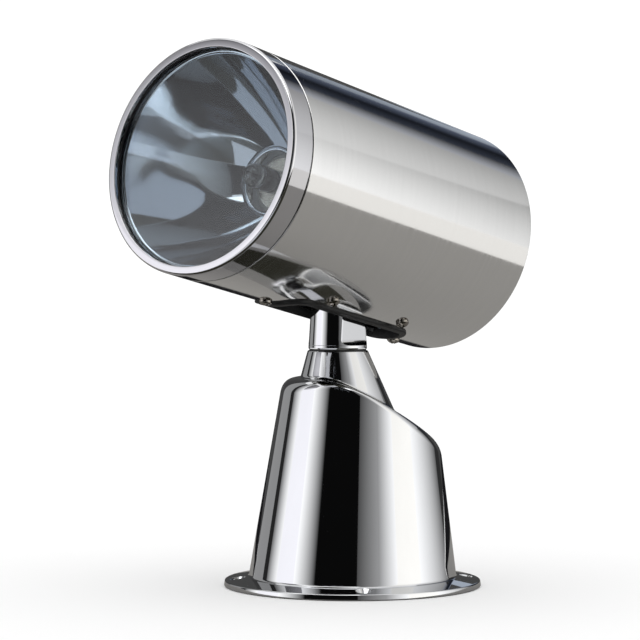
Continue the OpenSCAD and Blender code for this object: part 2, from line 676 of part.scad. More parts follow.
// One tooth always faces the pinion, so the gear meshes at any pan angle that is chosen
module pan_gear() color([0.8, 0.7, 0.45])
  translate([pan_x, 0, pan_gear_top - pan_gear_w]) linear_extrude(pan_gear_w) difference() {
    gear_shape(gear_teeth);
    circle(shaft_r + fit);
    around(6, (gear_r + shaft_r) / 2) circle((gear_r - shaft_r) / 4);
  }
module pan_circlip() color([0.3, 0.3, 0.32])
  translate([pan_x, 0, pan_gear_top - pan_gear_w - circlip_t])
    linear_extrude(circlip_t - fit) difference() {
      circle(shaft_r + circlip_w - clip_groove);
      circle(shaft_r - clip_groove + fit);
      translate([0, -clip_mouth / 2]) square([2 * shaft_r, clip_mouth]);
    }
module thrust_washer() color([0.72, 0.53, 0.28]) translate([pan_x, 0, pan_gear_top])
  ring(bush_r + bush_lip, shaft_r + fit, washer_t);
module tilt_sector() color([0.8, 0.7, 0.45]) at_tilt() difference() {
  union() {
    sheet(flat_y + ease, flat_y + ease + sector_w) {
      intersection() {
        rotate(-tilt_rest) gear_shape(gear_teeth);
        wedge(gear_r, sector_from, sector_to);
      }
      circle(sector_disc_r);
    }
    across(flat_y) cylinder(r = sector_hub_r, h = hub_gap - flat_y);
  }
  across(0) cylinder(r = pin_r + fit, h = cheek_y);
  sector_screw_places(0) cylinder(r = m3_r + ease, h = cheek_y);
  sheet(flat_y, cheek_y) intersection() {
    difference() {
      circle(gear_r - sector_rim);
      circle(sector_disc_r + sector_rim / 2);
    }
    wedge(gear_r, sector_from + sector_spoke, sector_to - sector_spoke);
  }
}
module sector_screws() color([0.75, 0.75, 0.76]) at_tilt()
  sector_screw_places(flat_y + ease + sector_w)
    screw(m3_r, sector_w + sector_screw_deep, m3_head_r, sector_screw_head);
module tilt_spacer() color([0.72, 0.53, 0.28]) at_tilt() across(-hub_gap)
  ring(sector_hub_r, pin_r + fit, hub_gap - flat_y);
module tilt_pin() color([0.66, 0.67, 0.69]) at_tilt() difference() {
  across(-pin_end) cylinder(r = pin_r, h = 2 * pin_end);
  for (side = [-1, 1]) across(side > 0 ? clip_y : -clip_y - clip_t)
    ring(pin_r + past, pin_r - clip_groove, clip_t);
}
module tilt_pin_clips() color([0.3, 0.3, 0.32]) at_tilt()
  for (side = [-1, 1]) across(side > 0 ? clip_y + fit : -clip_y - clip_t + fit)
    linear_extrude(clip_t - 2 * fit) difference() {
      circle(pin_r + clip_w);
      circle(pin_r - clip_groove + fit);
      translate([0, -pin_clip_mouth / 2]) square([2 * pin_r, pin_clip_mouth]);
    }
module slot_shield() color([0.05, 0.05, 0.05]) at_tilt() difference() {
  sheet(-shield_w / 2, shield_w / 2) intersection() {
    difference() {
      circle(shield_r);
      circle(shield_r - shield_t);
    }
    wedge(shield_r, 270 - shield_bow, 270 + shield_aft);
  }
  intersection() {
    translate([0, 0, -tilt_z]) cylinder(r = post_r + ease, h = tilt_z);
    cube([4 * post_r, post_flat + 2 * ease, 4 * shield_r], center = true);
  }
}

// Lamp
module barrel() color([0.72, 0.72, 0.72]) difference() {
  along_lamp() rotate_extrude() polygon([
    [tube_in, bezel_w + groove], [barrel_r - groove, bezel_w + groove],
    [barrel_r, bezel_w + 2 * groove], [barrel_r, lamp_len - sheet_edge],
    [barrel_r - sheet_edge, lamp_len], [tube_in, lamp_len]]);
  on_lamp() {
    under_slot(slot_len, slot_w, slot_corner);
    barrel_screw_places() translate([0, 0, -2 * shank_len])
      cylinder(r = m4_r + ease, h = 3 * shank_len);
  }
}
// Screw places on the barrel's underside, z pointing out of the barrel
module barrel_screw_places() {
  for (x = [-1, 1]) {
    on_barrel(x * end_screw_x, 0) children();
    for (side = [-1, 1]) on_barrel(x * side_screw_x, side * side_screw_angle) children();
  }
}
module on_barrel(x, a)
  translate([slot_aft + x, 0, 0]) rotate([180 + a, 0, 0]) translate([0, 0, barrel_r]) children();
module rear_cover() color([0.72, 0.72, 0.72]) along_lamp() rotate_extrude() {
  face_s = lamp_len - cover_dish;
  slope_r = cover_step_r + cover_step_w;
  polygon([
    [0, face_s - cover_t], [0, face_s], [cover_step_r, face_s], [slope_r, cover_rim_s],
    [spigot_r, cover_rim_s], [spigot_r, lamp_len - cover_skirt],
    [spigot_r - cover_t, lamp_len - cover_skirt], [spigot_r - cover_t, cover_rim_s - cover_t],
    [slope_r + cover_t / 2, cover_rim_s - cover_t], [cover_step_r + cover_t / 2, face_s - cover_t]]);
}
module bezel_ring() color([0.8, 0.8, 0.81]) along_lamp() rotate_extrude() {
  bevel = bezel_edge * 0.3;
  polygon([
    [lip_r, lip_edge], [lip_r + lip_edge, 0], [barrel_r - bezel_edge, 0],
    [barrel_r - bevel, bevel], [barrel_r, bezel_edge], [barrel_r, bezel_w - groove],
    [barrel_r - groove, bezel_w], [spigot_r, bezel_w], [spigot_r, bezel_w + spigot_len],
    [bezel_bore, bezel_w + spigot_len], [bezel_bore, lip_depth], [lip_r, lip_depth]]);
}
module lens_gasket() color([0.05, 0.05, 0.05]) along_lamp() translate([0, 0, lip_depth])
  ring(stack_r, lip_r - gasket_bead, lens_back - lip_depth);
module lens_glass() color([0.85, 0.92, 0.95, 0.3]) along_lamp() translate([0, 0, lens_back])
  cylinder(r = stack_r, h = lens_t);
module lens_retainer() color([0.7, 0.7, 0.71]) along_lamp()
  translate([0, 0, reflector_s + reflector_t]) ring(stack_r, stack_r - retainer_w, retainer_t);
function dish_s(r) = vertex_s - pow(r, 2) / (4 * focal);
module reflector() color([0.8, 0.82, 0.85]) along_lamp() rotate_extrude() {
  radii = [for (i = [0 : dish_steps]) bulb_hole_r + (reflector_r - bulb_hole_r) * i / dish_steps];
  polygon(concat(
    [for (r = radii) [r, dish_s(r)]],
    [[stack_r, reflector_s], [stack_r, reflector_s + reflector_t],
     [reflector_r + reflector_t, reflector_s + reflector_t]],
    [for (i = [dish_steps - 1 : -1 : 1]) [radii[i] + reflector_t, dish_s(radii[i]) + reflector_t]],
    [[bulb_hole_r + reflector_t, hole_s + reflector_t], [bulb_hole_r + reflector_t, collar_end_s],
     [bulb_hole_r, collar_end_s]]));
}
module bulb_shape(r, front, back) intersection() {
  union() {
    translate([0, front + r]) circle(r);
    translate([0, front + r]) square([r, back - front - r]);
  }
  translate([0, front]) square([r, back - front]);
}
module bulb_glass() color([0.9, 0.95, 1, 0.4]) along_lamp() rotate_extrude() difference() {
  bulb_shape(bulb_r, bulb_front_s, cap_s);
  bulb_shape(bulb_r - bulb_wall, bulb_front_s + bulb_wall, pinch_s);
}
module bulb_filament() color([0.55, 0.53, 0.5]) along_lamp() translate([0, 0, focus_s]) {
  across(-coil_len / 2) cylinder(r = coil_r, h = coil_len, $fn = 24);
  for (side = [-1, 1]) translate([0, side * (coil_len / 2 - lead_r), 0])
    cylinder(r = lead_r, h = pinch_s - focus_s, $fn = 16);
}
module bulb_cap() color([0.75, 0.73, 0.68]) along_lamp() translate([0, 0, cap_s]) {
  cylinder(r = cap_r, h = cap_len);
  cylinder(r = cap_flange_r, h = cap_flange_t);
}
module bulb_holder() color([0.9, 0.89, 0.85]) along_lamp() difference() {
  union() {
    translate([0, 0, holder_s]) cylinder(r = bulb_hole_r - ease, h = collar_end_s - holder_s);
    translate([0, 0, collar_end_s]) cylinder(r = bulb_hole_r + reflector_t, h = holder_flange_t);
  }
  translate([0, 0, cap_s]) cylinder(r = cap_r + fit, h = collar_end_s);
}
// A wire clip, bent to a U, that holds the bulb in its holder
module bulb_clip() color([0.7, 0.7, 0.72]) along_lamp()
  translate([0, 0, collar_end_s + holder_flange_t + clip_wire_r]) {
    for (side = [-1, 1]) translate([side * clip_reach, 0, 0]) across(-bulb_hole_r)
      cylinder(r = clip_wire_r, h = 2 * bulb_hole_r, $fn = 24);
    translate([-clip_reach, bulb_hole_r, 0]) rotate([0, 90, 0])
      cylinder(r = clip_wire_r, h = 2 * clip_reach, $fn = 24);
  }

// Tilt frame and drive
module cheek(motor) {
  circle(eye_r);
  polygon([[-eye_r, 0], [eye_r, 0], [slot_aft + side_screw_x, -saddle_r],
    [slot_aft - side_screw_x - eye_r / 2, -saddle_r]]);
  if (motor) {
    translate([gear_distance, 0]) circle(box_pad_r);
    polygon([[0, eye_r], [gear_distance, box_pad_r], [gear_distance, -box_pad_r], [0, -tilt_box_d]]);
  }
}
module tilt_frame() color([0.62, 0.63, 0.65]) on_lamp() difference() {
  saddle_x = slot_aft - end_screw_x - saddle_end;
  saddle_len = 2 * (end_screw_x + saddle_end);
  union() {
    intersection() {
      lamp_tube(saddle_r, saddle_r - frame_t, saddle_x, saddle_len);
      translate([saddle_x, -saddle_half_w, -barrel_r]) cube([saddle_len, 2 * saddle_half_w, barrel_r]);
    }
    intersection() {
      union() {
        sheet(-cheek_y - frame_t, -cheek_y) cheek(false);
        sheet(cheek_y, cheek_y + frame_t) cheek(true);
      }
      translate([-lamp_ahead, 0, 0]) rotate([0, 90, 0])
        cylinder(r = saddle_r - frame_t / 2, h = lamp_len);
    }
  }
  under_slot(slot_len, slot_w, slot_corner);
  across(-barrel_r) cylinder(r = tilt_bush_r + fit, h = 2 * barrel_r);
  translate([gear_distance, 0, 0]) {
    across(0) cylinder(r = box_boss_r + fit, h = barrel_r);
    for (z = [-1, 1]) translate([0, 0, z * motor_screw_y]) across(0)
      cylinder(r = m3_r + ease, h = barrel_r);
  }
  barrel_screw_places() translate([0, 0, -2 * shank_len])
    cylinder(r = m4_r + fit, h = 3 * shank_len);
}
module tilt_bushes() color([0.72, 0.53, 0.28]) on_lamp() for (side = [0, 1]) mirror([0, side, 0])
  across(cheek_y - tilt_bush_lip_t) difference() {
    union() {
      cylinder(r = tilt_bush_r, h = tilt_bush_lip_t + frame_t);
      cylinder(r = tilt_bush_r + tilt_bush_lip, h = tilt_bush_lip_t);
    }
    translate([0, 0, -past]) cylinder(r = pin_r + run, h = frame_t + 4 * past);
  }
module at_tilt_motor(y) on_lamp() translate([gear_distance, 0, 0]) across(y) children();
module tilt_gearbox() color([0.45, 0.46, 0.48])
  at_tilt_motor(cheek_y + frame_t) gearbox(tilt_box_d / 2, tilt_box_len, frame_t);
module tilt_motor() color([0.6, 0.6, 0.62])
  at_tilt_motor(cheek_y + frame_t + tilt_box_len) motor(tilt_motor_d / 2, tilt_motor_len);
module tilt_motor_screws() color([0.75, 0.75, 0.76])
  at_tilt_motor(cheek_y) for (y = [-1, 1]) translate([0, y * motor_screw_y, 0]) mirror([0, 0, 1])
    screw(m3_r, frame_t + motor_screw_len - blind, m3_head_r, m3_head_h);
module tilt_pinion() color([0.8, 0.7, 0.45]) at_tilt_motor(flat_y + ease)
  pinion(sector_w, cheek_y + frame_t + shaft_in_box - flat_y - ease - sector_w);
module barrel_screws() color([0.75, 0.75, 0.76]) on_lamp() barrel_screw_places()
  translate([0, 0, fit]) screw(m4_r, shank_len, screw_head_d / 2, head_dome);
module slot_trim() color([0.06, 0.06, 0.06]) on_lamp() difference() {
  neck_l = slot_len - 2 * ease;
  neck_w = slot_w - 2 * ease;
  union() {
    intersection() {
      lamp_tube(barrel_r + trim_proud, barrel_r + fit, -lamp_ahead, lamp_len);
      under_slot(trim_len, trim_w, trim_corner);
    }
    intersection() {
      lamp_tube(barrel_r + past, saddle_r - frame_t, -lamp_ahead, lamp_len);
      under_slot(neck_l, neck_w, slot_corner);
    }
  }
  under_slot(neck_l - 2 * trim_wall, neck_w - 2 * trim_wall, slot_corner - trim_wall);
}

base_casting();
deck_gasket();
base_plate();
base_plate_screws();
cable_grommet();
chassis_plate();
chassis_screws();
pan_upper_bush();
pan_lower_bush();
neck_seal();
pan_gearbox();
pan_motor();
pan_motor_screws();
pan_pinion();
turret_post();
pan_gear();
pan_circlip();
thrust_washer();
tilt_sector();
sector_screws();
tilt_spacer();
tilt_pin();
tilt_pin_clips();
slot_shield();
tilt_pinion();
barrel();
rear_cover();
bezel_ring();
lens_gasket();
lens_glass();
lens_retainer();
reflector();
bulb_glass();
bulb_filament();
bulb_cap();
bulb_holder();
bulb_clip();
tilt_frame();
tilt_bushes();
tilt_gearbox();
tilt_motor();
tilt_motor_screws();
barrel_screws();
slot_trim();
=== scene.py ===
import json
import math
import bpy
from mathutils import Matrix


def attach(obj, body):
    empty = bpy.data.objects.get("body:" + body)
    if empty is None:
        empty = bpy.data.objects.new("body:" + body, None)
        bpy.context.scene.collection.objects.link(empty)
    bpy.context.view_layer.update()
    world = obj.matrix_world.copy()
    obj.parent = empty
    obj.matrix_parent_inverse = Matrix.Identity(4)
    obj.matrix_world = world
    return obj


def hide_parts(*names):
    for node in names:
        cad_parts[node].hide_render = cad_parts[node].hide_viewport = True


bl_info = {
    "name": "Marine searchlight",
    "version": (1, 0, 0),
    "blender": (4, 5, 0),
    "location": "3D View > Sidebar > Searchlight",
    "description": "Builds the polished pieces of a pan and tilt marine searchlight on its CAD frame",
    "category": "Object",
}

import bmesh
import bpy
from bpy.props import FloatProperty, FloatVectorProperty, PointerProperty
from mathutils import Matrix, Vector

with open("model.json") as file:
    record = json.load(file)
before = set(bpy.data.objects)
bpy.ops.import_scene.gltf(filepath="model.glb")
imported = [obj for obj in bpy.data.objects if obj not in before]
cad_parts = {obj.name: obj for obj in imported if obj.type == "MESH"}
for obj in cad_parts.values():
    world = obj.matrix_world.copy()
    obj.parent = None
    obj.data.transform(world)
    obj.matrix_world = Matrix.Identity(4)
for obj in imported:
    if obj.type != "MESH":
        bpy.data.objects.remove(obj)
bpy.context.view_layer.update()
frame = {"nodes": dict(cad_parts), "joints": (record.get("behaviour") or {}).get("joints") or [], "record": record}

MM = 0.001                # the pieces are modelled in millimetres, and Blender works in metres
MERGE = 0.0005            # millimetres, for closing seams and poles
TURN = 2 * math.pi
ROUND_STEPS = 5           # segments of a rounded corner
EDGE_STEPS = 3            # segments of a rounded sheet edge
EDGE_ANGLE = math.radians(40)
CLEAR = 0.2               # millimetres, between pieces that fit into each other
NOISE_RANGE = (0.3, 0.7)  # the part of a noise pattern's range that a finish uses

JOINTS = {joint["name"]: joint for joint in frame["joints"]}
PAN_POINT = Vector(JOINTS["pan"]["pos_m"])
TILT_POINT = Vector(JOINTS["tilt"]["pos_m"])
TILT_AXIS = Vector(JOINTS["tilt"]["axis"]).normalized()


def mm(length):
    """A property's metres as millimetres."""
    return length / MM


def from_hex(code):
    """A linear colour from an sRGB hex value such as 'C8C9CB'."""
    parts = [int(code[i:i + 2], 16) / 255 for i in (0, 2, 4)]
    linear = [c / 12.92 if c <= 0.04045 else ((c + 0.055) / 1.055) ** 2.4 for c in parts]
    return (*linear, 1.0)


def length(name, description, default):
    """A length property, with its default in millimetres."""
    return FloatProperty(name=name, description=description, default=default * MM,
                         min=0.0, unit="LENGTH", precision=4)


def colour(name, description, code):
    """A colour property, with its default as an sRGB hex value."""
    return FloatVectorProperty(name=name, description=description, default=from_hex(code),
                               size=4, min=0.0, max=1.0, subtype="COLOR")


# ---- properties


class PedestalSizes(bpy.types.PropertyGroup):
    """Sizes of the cast pedestal."""
    flange_radius: length("Flange radius", "Outside radius of the deck flange", 80)
    flange_thickness: length("Flange thickness", "Thickness of the deck flange", 4)
    base_radius: length("Wall radius", "Radius of the wall where it meets the flange", 65)
    bolt_ring: length("Bolt ring", "Distance of the deck bolts from the pedestal's centre", 71.5)
    bolt_hole: length("Bolt hole", "Diameter of a deck bolt hole", 6.5)
    bolt_sink: length("Countersink", "Width of a deck bolt's countersink", 10.5)
    foot_fillet: length("Foot fillet", "Fillet between the wall and the flange", 1.2)
    crest_height: length("Crest height", "Height of the shoulder's level front part", 129.5)
    neck_height: length("Neck height", "Height of the neck's top face", 146.4)
    neck_radius: length("Neck radius", "Radius of the neck's top face", 18.7)
    neck_fillet: length("Neck fillet", "Fillet between the neck and the shoulder", 1.8)


class LampSizes(bpy.types.PropertyGroup):
    """Sizes of the lamp."""
    barrel_radius: length("Barrel radius", "Outside radius of the barrel", 71.5)
    barrel_wall: length("Barrel wall", "Thickness of the barrel's sheet", 1.5)
    lamp_length: length("Lamp length", "Length from the front face to the rear edge", 243)
    lamp_ahead: length("Lamp ahead", "Distance of the front face from the tilt axis", 134)
    ring_width: length("Front ring width", "Width of the front ring's band", 17.2)
    ring_face: length("Front ring face", "Width of the front ring's face", 5.5)
    lens_back: length("Lens depth", "Depth of the lens behind the front face", 4.5)
    lens_thickness: length("Lens thickness", "Thickness of the flat lens", 4)
    focal_length: length("Focal length", "Focal length of the reflector", 15)
    slot_aft: length("Slot aft", "Distance of the slot's middle behind the tilt axis", 8.5)
    edging_height: length("Edging height", "Height of the rubber edging on the barrel", 1.8)
    screw_head: length("Screw head", "Diameter of a barrel screw's head", 8)
    tilt: FloatProperty(name="Tilt", description="Tilt of the lamp above level at rest",
                        default=math.radians(11.85), subtype="ANGLE")


class Finishes(bpy.types.PropertyGroup):
    """Colours of the finishes."""
    cast_steel: colour("Cast steel", "Mirror-polished pedestal and post", "D6D7D9")
    tube_steel: colour("Tube steel", "Polished barrel", "F0F0EF")
    ring_steel: colour("Ring steel", "Turned and polished front ring", "D2D2D5")
    rubber: colour("Rubber", "Moulded edging and seals", "0F1011")
    dish: colour("Reflector", "Aluminised reflector", "D4D9E0")
    lens: colour("Lens", "Tempered lens", "EAF1F4")
    floor: colour("Floor", "Studio floor", "FBFBFB")


def pedestal_sizes():
    return bpy.context.scene.searchlight_pedestal


def lamp_sizes():
    return bpy.context.scene.searchlight_lamp


def finishes():
    return bpy.context.scene.searchlight_finishes


# ---- places


def turret_turn():
    """The turning post's axes at rest: Y is the tilt axis and Z is up."""
    up = Vector((0, 0, 1))
    return Matrix((TILT_AXIS.cross(up), TILT_AXIS, up)).transposed().to_4x4()


def turret_place():
    return Matrix.Translation((PAN_POINT.x, PAN_POINT.y, 0)) @ turret_turn()


def lamp_place():
    """The lamp's axes at rest: the beam leaves along -X, and Y is the tilt axis."""
    tilt = Matrix.Rotation(lamp_sizes().tilt, 4, "Y")
    return Matrix.Translation(TILT_POINT) @ turret_turn() @ tilt


# ---- mesh helpers


def make_piece(bm, name, place, body, slot, nodes, finish, sharp=32, edge=0.0, wall=0.0):
    """Turns a bmesh in millimetres into a piece that rides on a body and stands for CAD nodes."""
    bmesh.ops.remove_doubles(bm, verts=bm.verts[:], dist=MERGE)
    bmesh.ops.recalc_face_normals(bm, faces=bm.faces[:])
    bmesh.ops.transform(bm, matrix=place @ Matrix.Scale(MM, 4), verts=bm.verts[:])
    mesh = bpy.data.meshes.new(name)
    bm.to_mesh(mesh)
    bm.free()
    mesh.shade_smooth()
    mesh.set_sharp_from_angle(angle=math.radians(sharp))
    mesh.materials.append(finish)
    piece = bpy.data.objects.new(name, mesh)
    bpy.context.scene.collection.objects.link(piece)
    if wall:
        sheet = piece.modifiers.new("Sheet", "SOLIDIFY")
        sheet.thickness = wall * MM
        sheet.offset = -1
        sheet.use_even_offset = True
    if edge:
        rounding = piece.modifiers.new("Edges", "BEVEL")
        rounding.width = edge * MM
        rounding.segments = EDGE_STEPS
        rounding.limit_method = "ANGLE"
        rounding.angle_limit = EDGE_ANGLE
    shading = piece.modifiers.new("Even shading", "WEIGHTED_NORMAL")
    shading.keep_sharp = True
    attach(piece, body)
    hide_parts(*nodes)
    return piece


def shares(count, first=1):
    """Even shares of one: from 1/count, or from 0 where first is 0, up to 1."""
    return [i / count for i in range(first, count + 1)]


def angles(first, step, count):
    """Evenly stepped angles, given in degrees."""
    return [math.radians(first + step * i) for i in range(count)]


def bend(start, corner, end, t):
    """A point of the curve that leaves start towards a corner and reaches end from it."""
    return start * (1 - t) ** 2 + corner * 2 * t * (1 - t) + end * t ** 2


def edges_between(verts):
    """The edges whose two ends are both among the vertices."""
    verts = set(verts)
    return [e for e in {e for v in verts for e in v.link_edges} if set(e.verts) <= verts]


def outline_edges(faces):
    """The edges round a patch of faces."""
    patch = set(faces)
    return [e for e in {e for f in patch for e in f.edges}
            if sum(f in patch for f in e.link_faces) == 1]


def extrude_ring(bm, edges, place):
    """Extrudes a ring of edges, moves the new vertices to place(vertex), and returns the new edges."""
    made = bmesh.ops.extrude_edge_only(bm, edges=edges)["geom"]
    verts = {g for g in made if isinstance(g, bmesh.types.BMVert)}
    for vert in verts:
        vert.co = place(vert)
    return edges_between(verts)


def lathe(bm, corners, steps=192):
    """Spins a closed outline about X. A corner is (x, radius, rounding)."""
    outline = [bm.verts.new((x, 0, r)) for x, r, _ in corners]
    for pair in zip(outline, outline[1:] + outline[:1]):
        if any(vert.co.z for vert in pair):
            bm.edges.new(pair)
    for vert, corner in zip(outline, corners):
        if corner[2]:
            bmesh.ops.bevel(bm, geom=[vert], offset=corner[2], offset_type="OFFSET",
                            affect="VERTICES", segments=ROUND_STEPS, profile=0.5, material=-1)
    bmesh.ops.spin(bm, geom=bm.verts[:] + bm.edges[:], cent=(0, 0, 0), axis=(1, 0, 0),
                   dvec=(0, 0, 0), angle=TURN, steps=steps, use_merge=True, use_duplicate=False)


def skin(bm, rings, steps):
    """A skin through rings of points, each given as ring(bearing). Returns the last ring's edges."""
    bearing = bm.verts.layers.float.new("bearing")
    verts = bmesh.ops.create_circle(bm, cap_ends=False, radius=1, segments=steps)["verts"]
    for vert in verts:
        vert[bearing] = round(math.atan2(vert.co.y, vert.co.x) / TURN * steps) * TURN / steps
        vert.co = rings[0](vert[bearing])
    edges = edges_between(verts)
    for ring in rings[1:]:
        edges = extrude_ring(bm, edges, lambda vert: ring(vert[bearing]))
    return edges


def circle(radius, z, x=0.0):
    return lambda a: Vector((x + radius * math.cos(a), radius * math.sin(a), z))


def on_slot(u, v, long, wide, corner):
    """The point of a round-cornered slot that stands for (u, v) on the edge of a square of 2 x 2."""
    x, y = u * long / 2, v * wide / 2
    centre = Vector((math.copysign(long / 2 - corner, x), math.copysign(wide / 2 - corner, y)))
    if abs(x) > abs(centre.x) and abs(y) > abs(centre.y):
        out = (Vector((x, y)) - centre).normalized() * corner
        x, y = centre.x + out.x, centre.y + out.y
    return Vector((x, y))


# ---- pedestal


class PedestalShape:
    """The pedestal's skin in millimetres, as points at a bearing about its axis."""
    LEAN = (math.radians(9.8), math.radians(7))            # bow side, aft side
    CREST_X = -24.0
    BEND_R = 45.0
    SLOPE = math.radians(24)
    LONG_R = 252.0
    RIM = (9.5, 2.4, 7.6)                                  # bow, sides, aft
    RIM_BLEND = 1.4
    NECK_LEAN = (math.radians(15), math.radians(24))       # bow side, aft side
    WALL, ROOF = 4.0, 5.0
    STEEPEST = 0.95                                        # sine of the shoulder's slope
    SETTLE = 12                                            # rounds until a height settles

    def __init__(self, sizes):
        self.base_r = mm(sizes.base_radius)
        self.foot_z = mm(sizes.flange_thickness)
        self.crest_z = mm(sizes.crest_height)
        self.neck_z = mm(sizes.neck_height)
        self.neck_r = mm(sizes.neck_radius)
        self.fillet = mm(sizes.neck_fillet)
        self.pan_x = mm(PAN_POINT.x)
        bow, aft = (math.tan(a) for a in self.LEAN)
        self.wall_slope = (bow + aft) / 2
        self.wall_drift = (bow - aft) / 2
        self.bend_x = self.CREST_X + self.BEND_R * math.sin(self.SLOPE)
        self.bend_z = self.crest_z - self.BEND_R * (1 - math.cos(self.SLOPE))

    def wall(self, a, z, inset=0.0):
        r = self.base_r - self.wall_slope * (z - self.foot_z) - inset
        x = self.wall_drift * (z - self.foot_z)
        return Vector((x + r * math.cos(a), r * math.sin(a), z))

    def shoulder(self, x):
        """Height of the shoulder: level to the crest, a tight bend, then a long curve down."""
        if x < self.CREST_X:
            return self.crest_z
        if x < self.bend_x:
            return self.crest_z - self.BEND_R + math.sqrt(self.BEND_R ** 2 - (x - self.CREST_X) ** 2)
        sine = min(self.STEEPEST, math.sin(self.SLOPE) + (x - self.bend_x) / self.LONG_R)
        return self.bend_z - self.LONG_R * (math.cos(self.SLOPE) - math.sqrt(1 - sine ** 2))

    def settle(self, point, drop=0.0):
        """Where a leaning surface, given as point(height), meets the shoulder."""
        z = self.crest_z
        for _ in range(self.SETTLE):
            z = self.shoulder(point(z).x) - drop
        return point(z)

    def corner(self, a, inset=0.0, drop=0.0):
        return self.settle(lambda z: self.wall(a, z, inset), drop)

    def rim_length(self, a):
        bow, side, aft = self.RIM
        ahead, behind = max(0, -math.cos(a)), max(0, math.cos(a))
        return (side + (bow - side) * ahead ** self.RIM_BLEND
                + (aft - side) * behind ** self.RIM_BLEND)

    def on_shoulder(self, x, y):
        return Vector((x, y, self.shoulder(x)))

    def rim(self, a, t):
        corner, size = self.corner(a), self.rim_length(a)
        low = self.wall(a, corner.z - size)
        inward = Vector((self.pan_x - corner.x, -corner.y)).normalized() * size
        high = self.on_shoulder(corner.x + inward.x, corner.y + inward.y)
        return bend(low, corner, high, t)

    def neck(self, a, z, inset=0.0):
        bow, aft = (math.tan(lean) for lean in self.NECK_LEAN)
        drop = self.neck_z - z
        r = self.neck_r + drop * (bow + aft) / 2 - inset
        return Vector((self.pan_x + drop * (aft - bow) / 2 + r * math.cos(a), r * math.sin(a), z))

    def neck_foot(self, a):
        """Where the neck would meet the shoulder in a sharp corner."""
        return self.settle(lambda z: self.neck(a, z))

    def roof(self, a, t):
        rim, foot = self.rim(a, 1), self.neck_foot(a)
        path = Vector((foot.x - rim.x, foot.y - rim.y))
        flat = path * t * max(0, 1 - self.fillet / path.length)
        return self.on_shoulder(rim.x + flat.x, rim.y + flat.y)

    def neck_fillet(self, a, t):
        foot = self.neck_foot(a)
        return bend(self.roof(a, 1), foot, self.neck(a, foot.z + self.fillet), t)

    def under_roof(self, a, t, bore):
        """The cavity's roof, from the bush's bore out to the wall."""
        top = self.corner(a, self.WALL, self.ROOF)
        hub = Vector((self.pan_x + bore * math.cos(a), bore * math.sin(a)))
        x, y = hub.x + (top.x - hub.x) * t, hub.y + (top.y - hub.y) * t
        return Vector((x, y, self.shoulder(x) - self.ROOF))


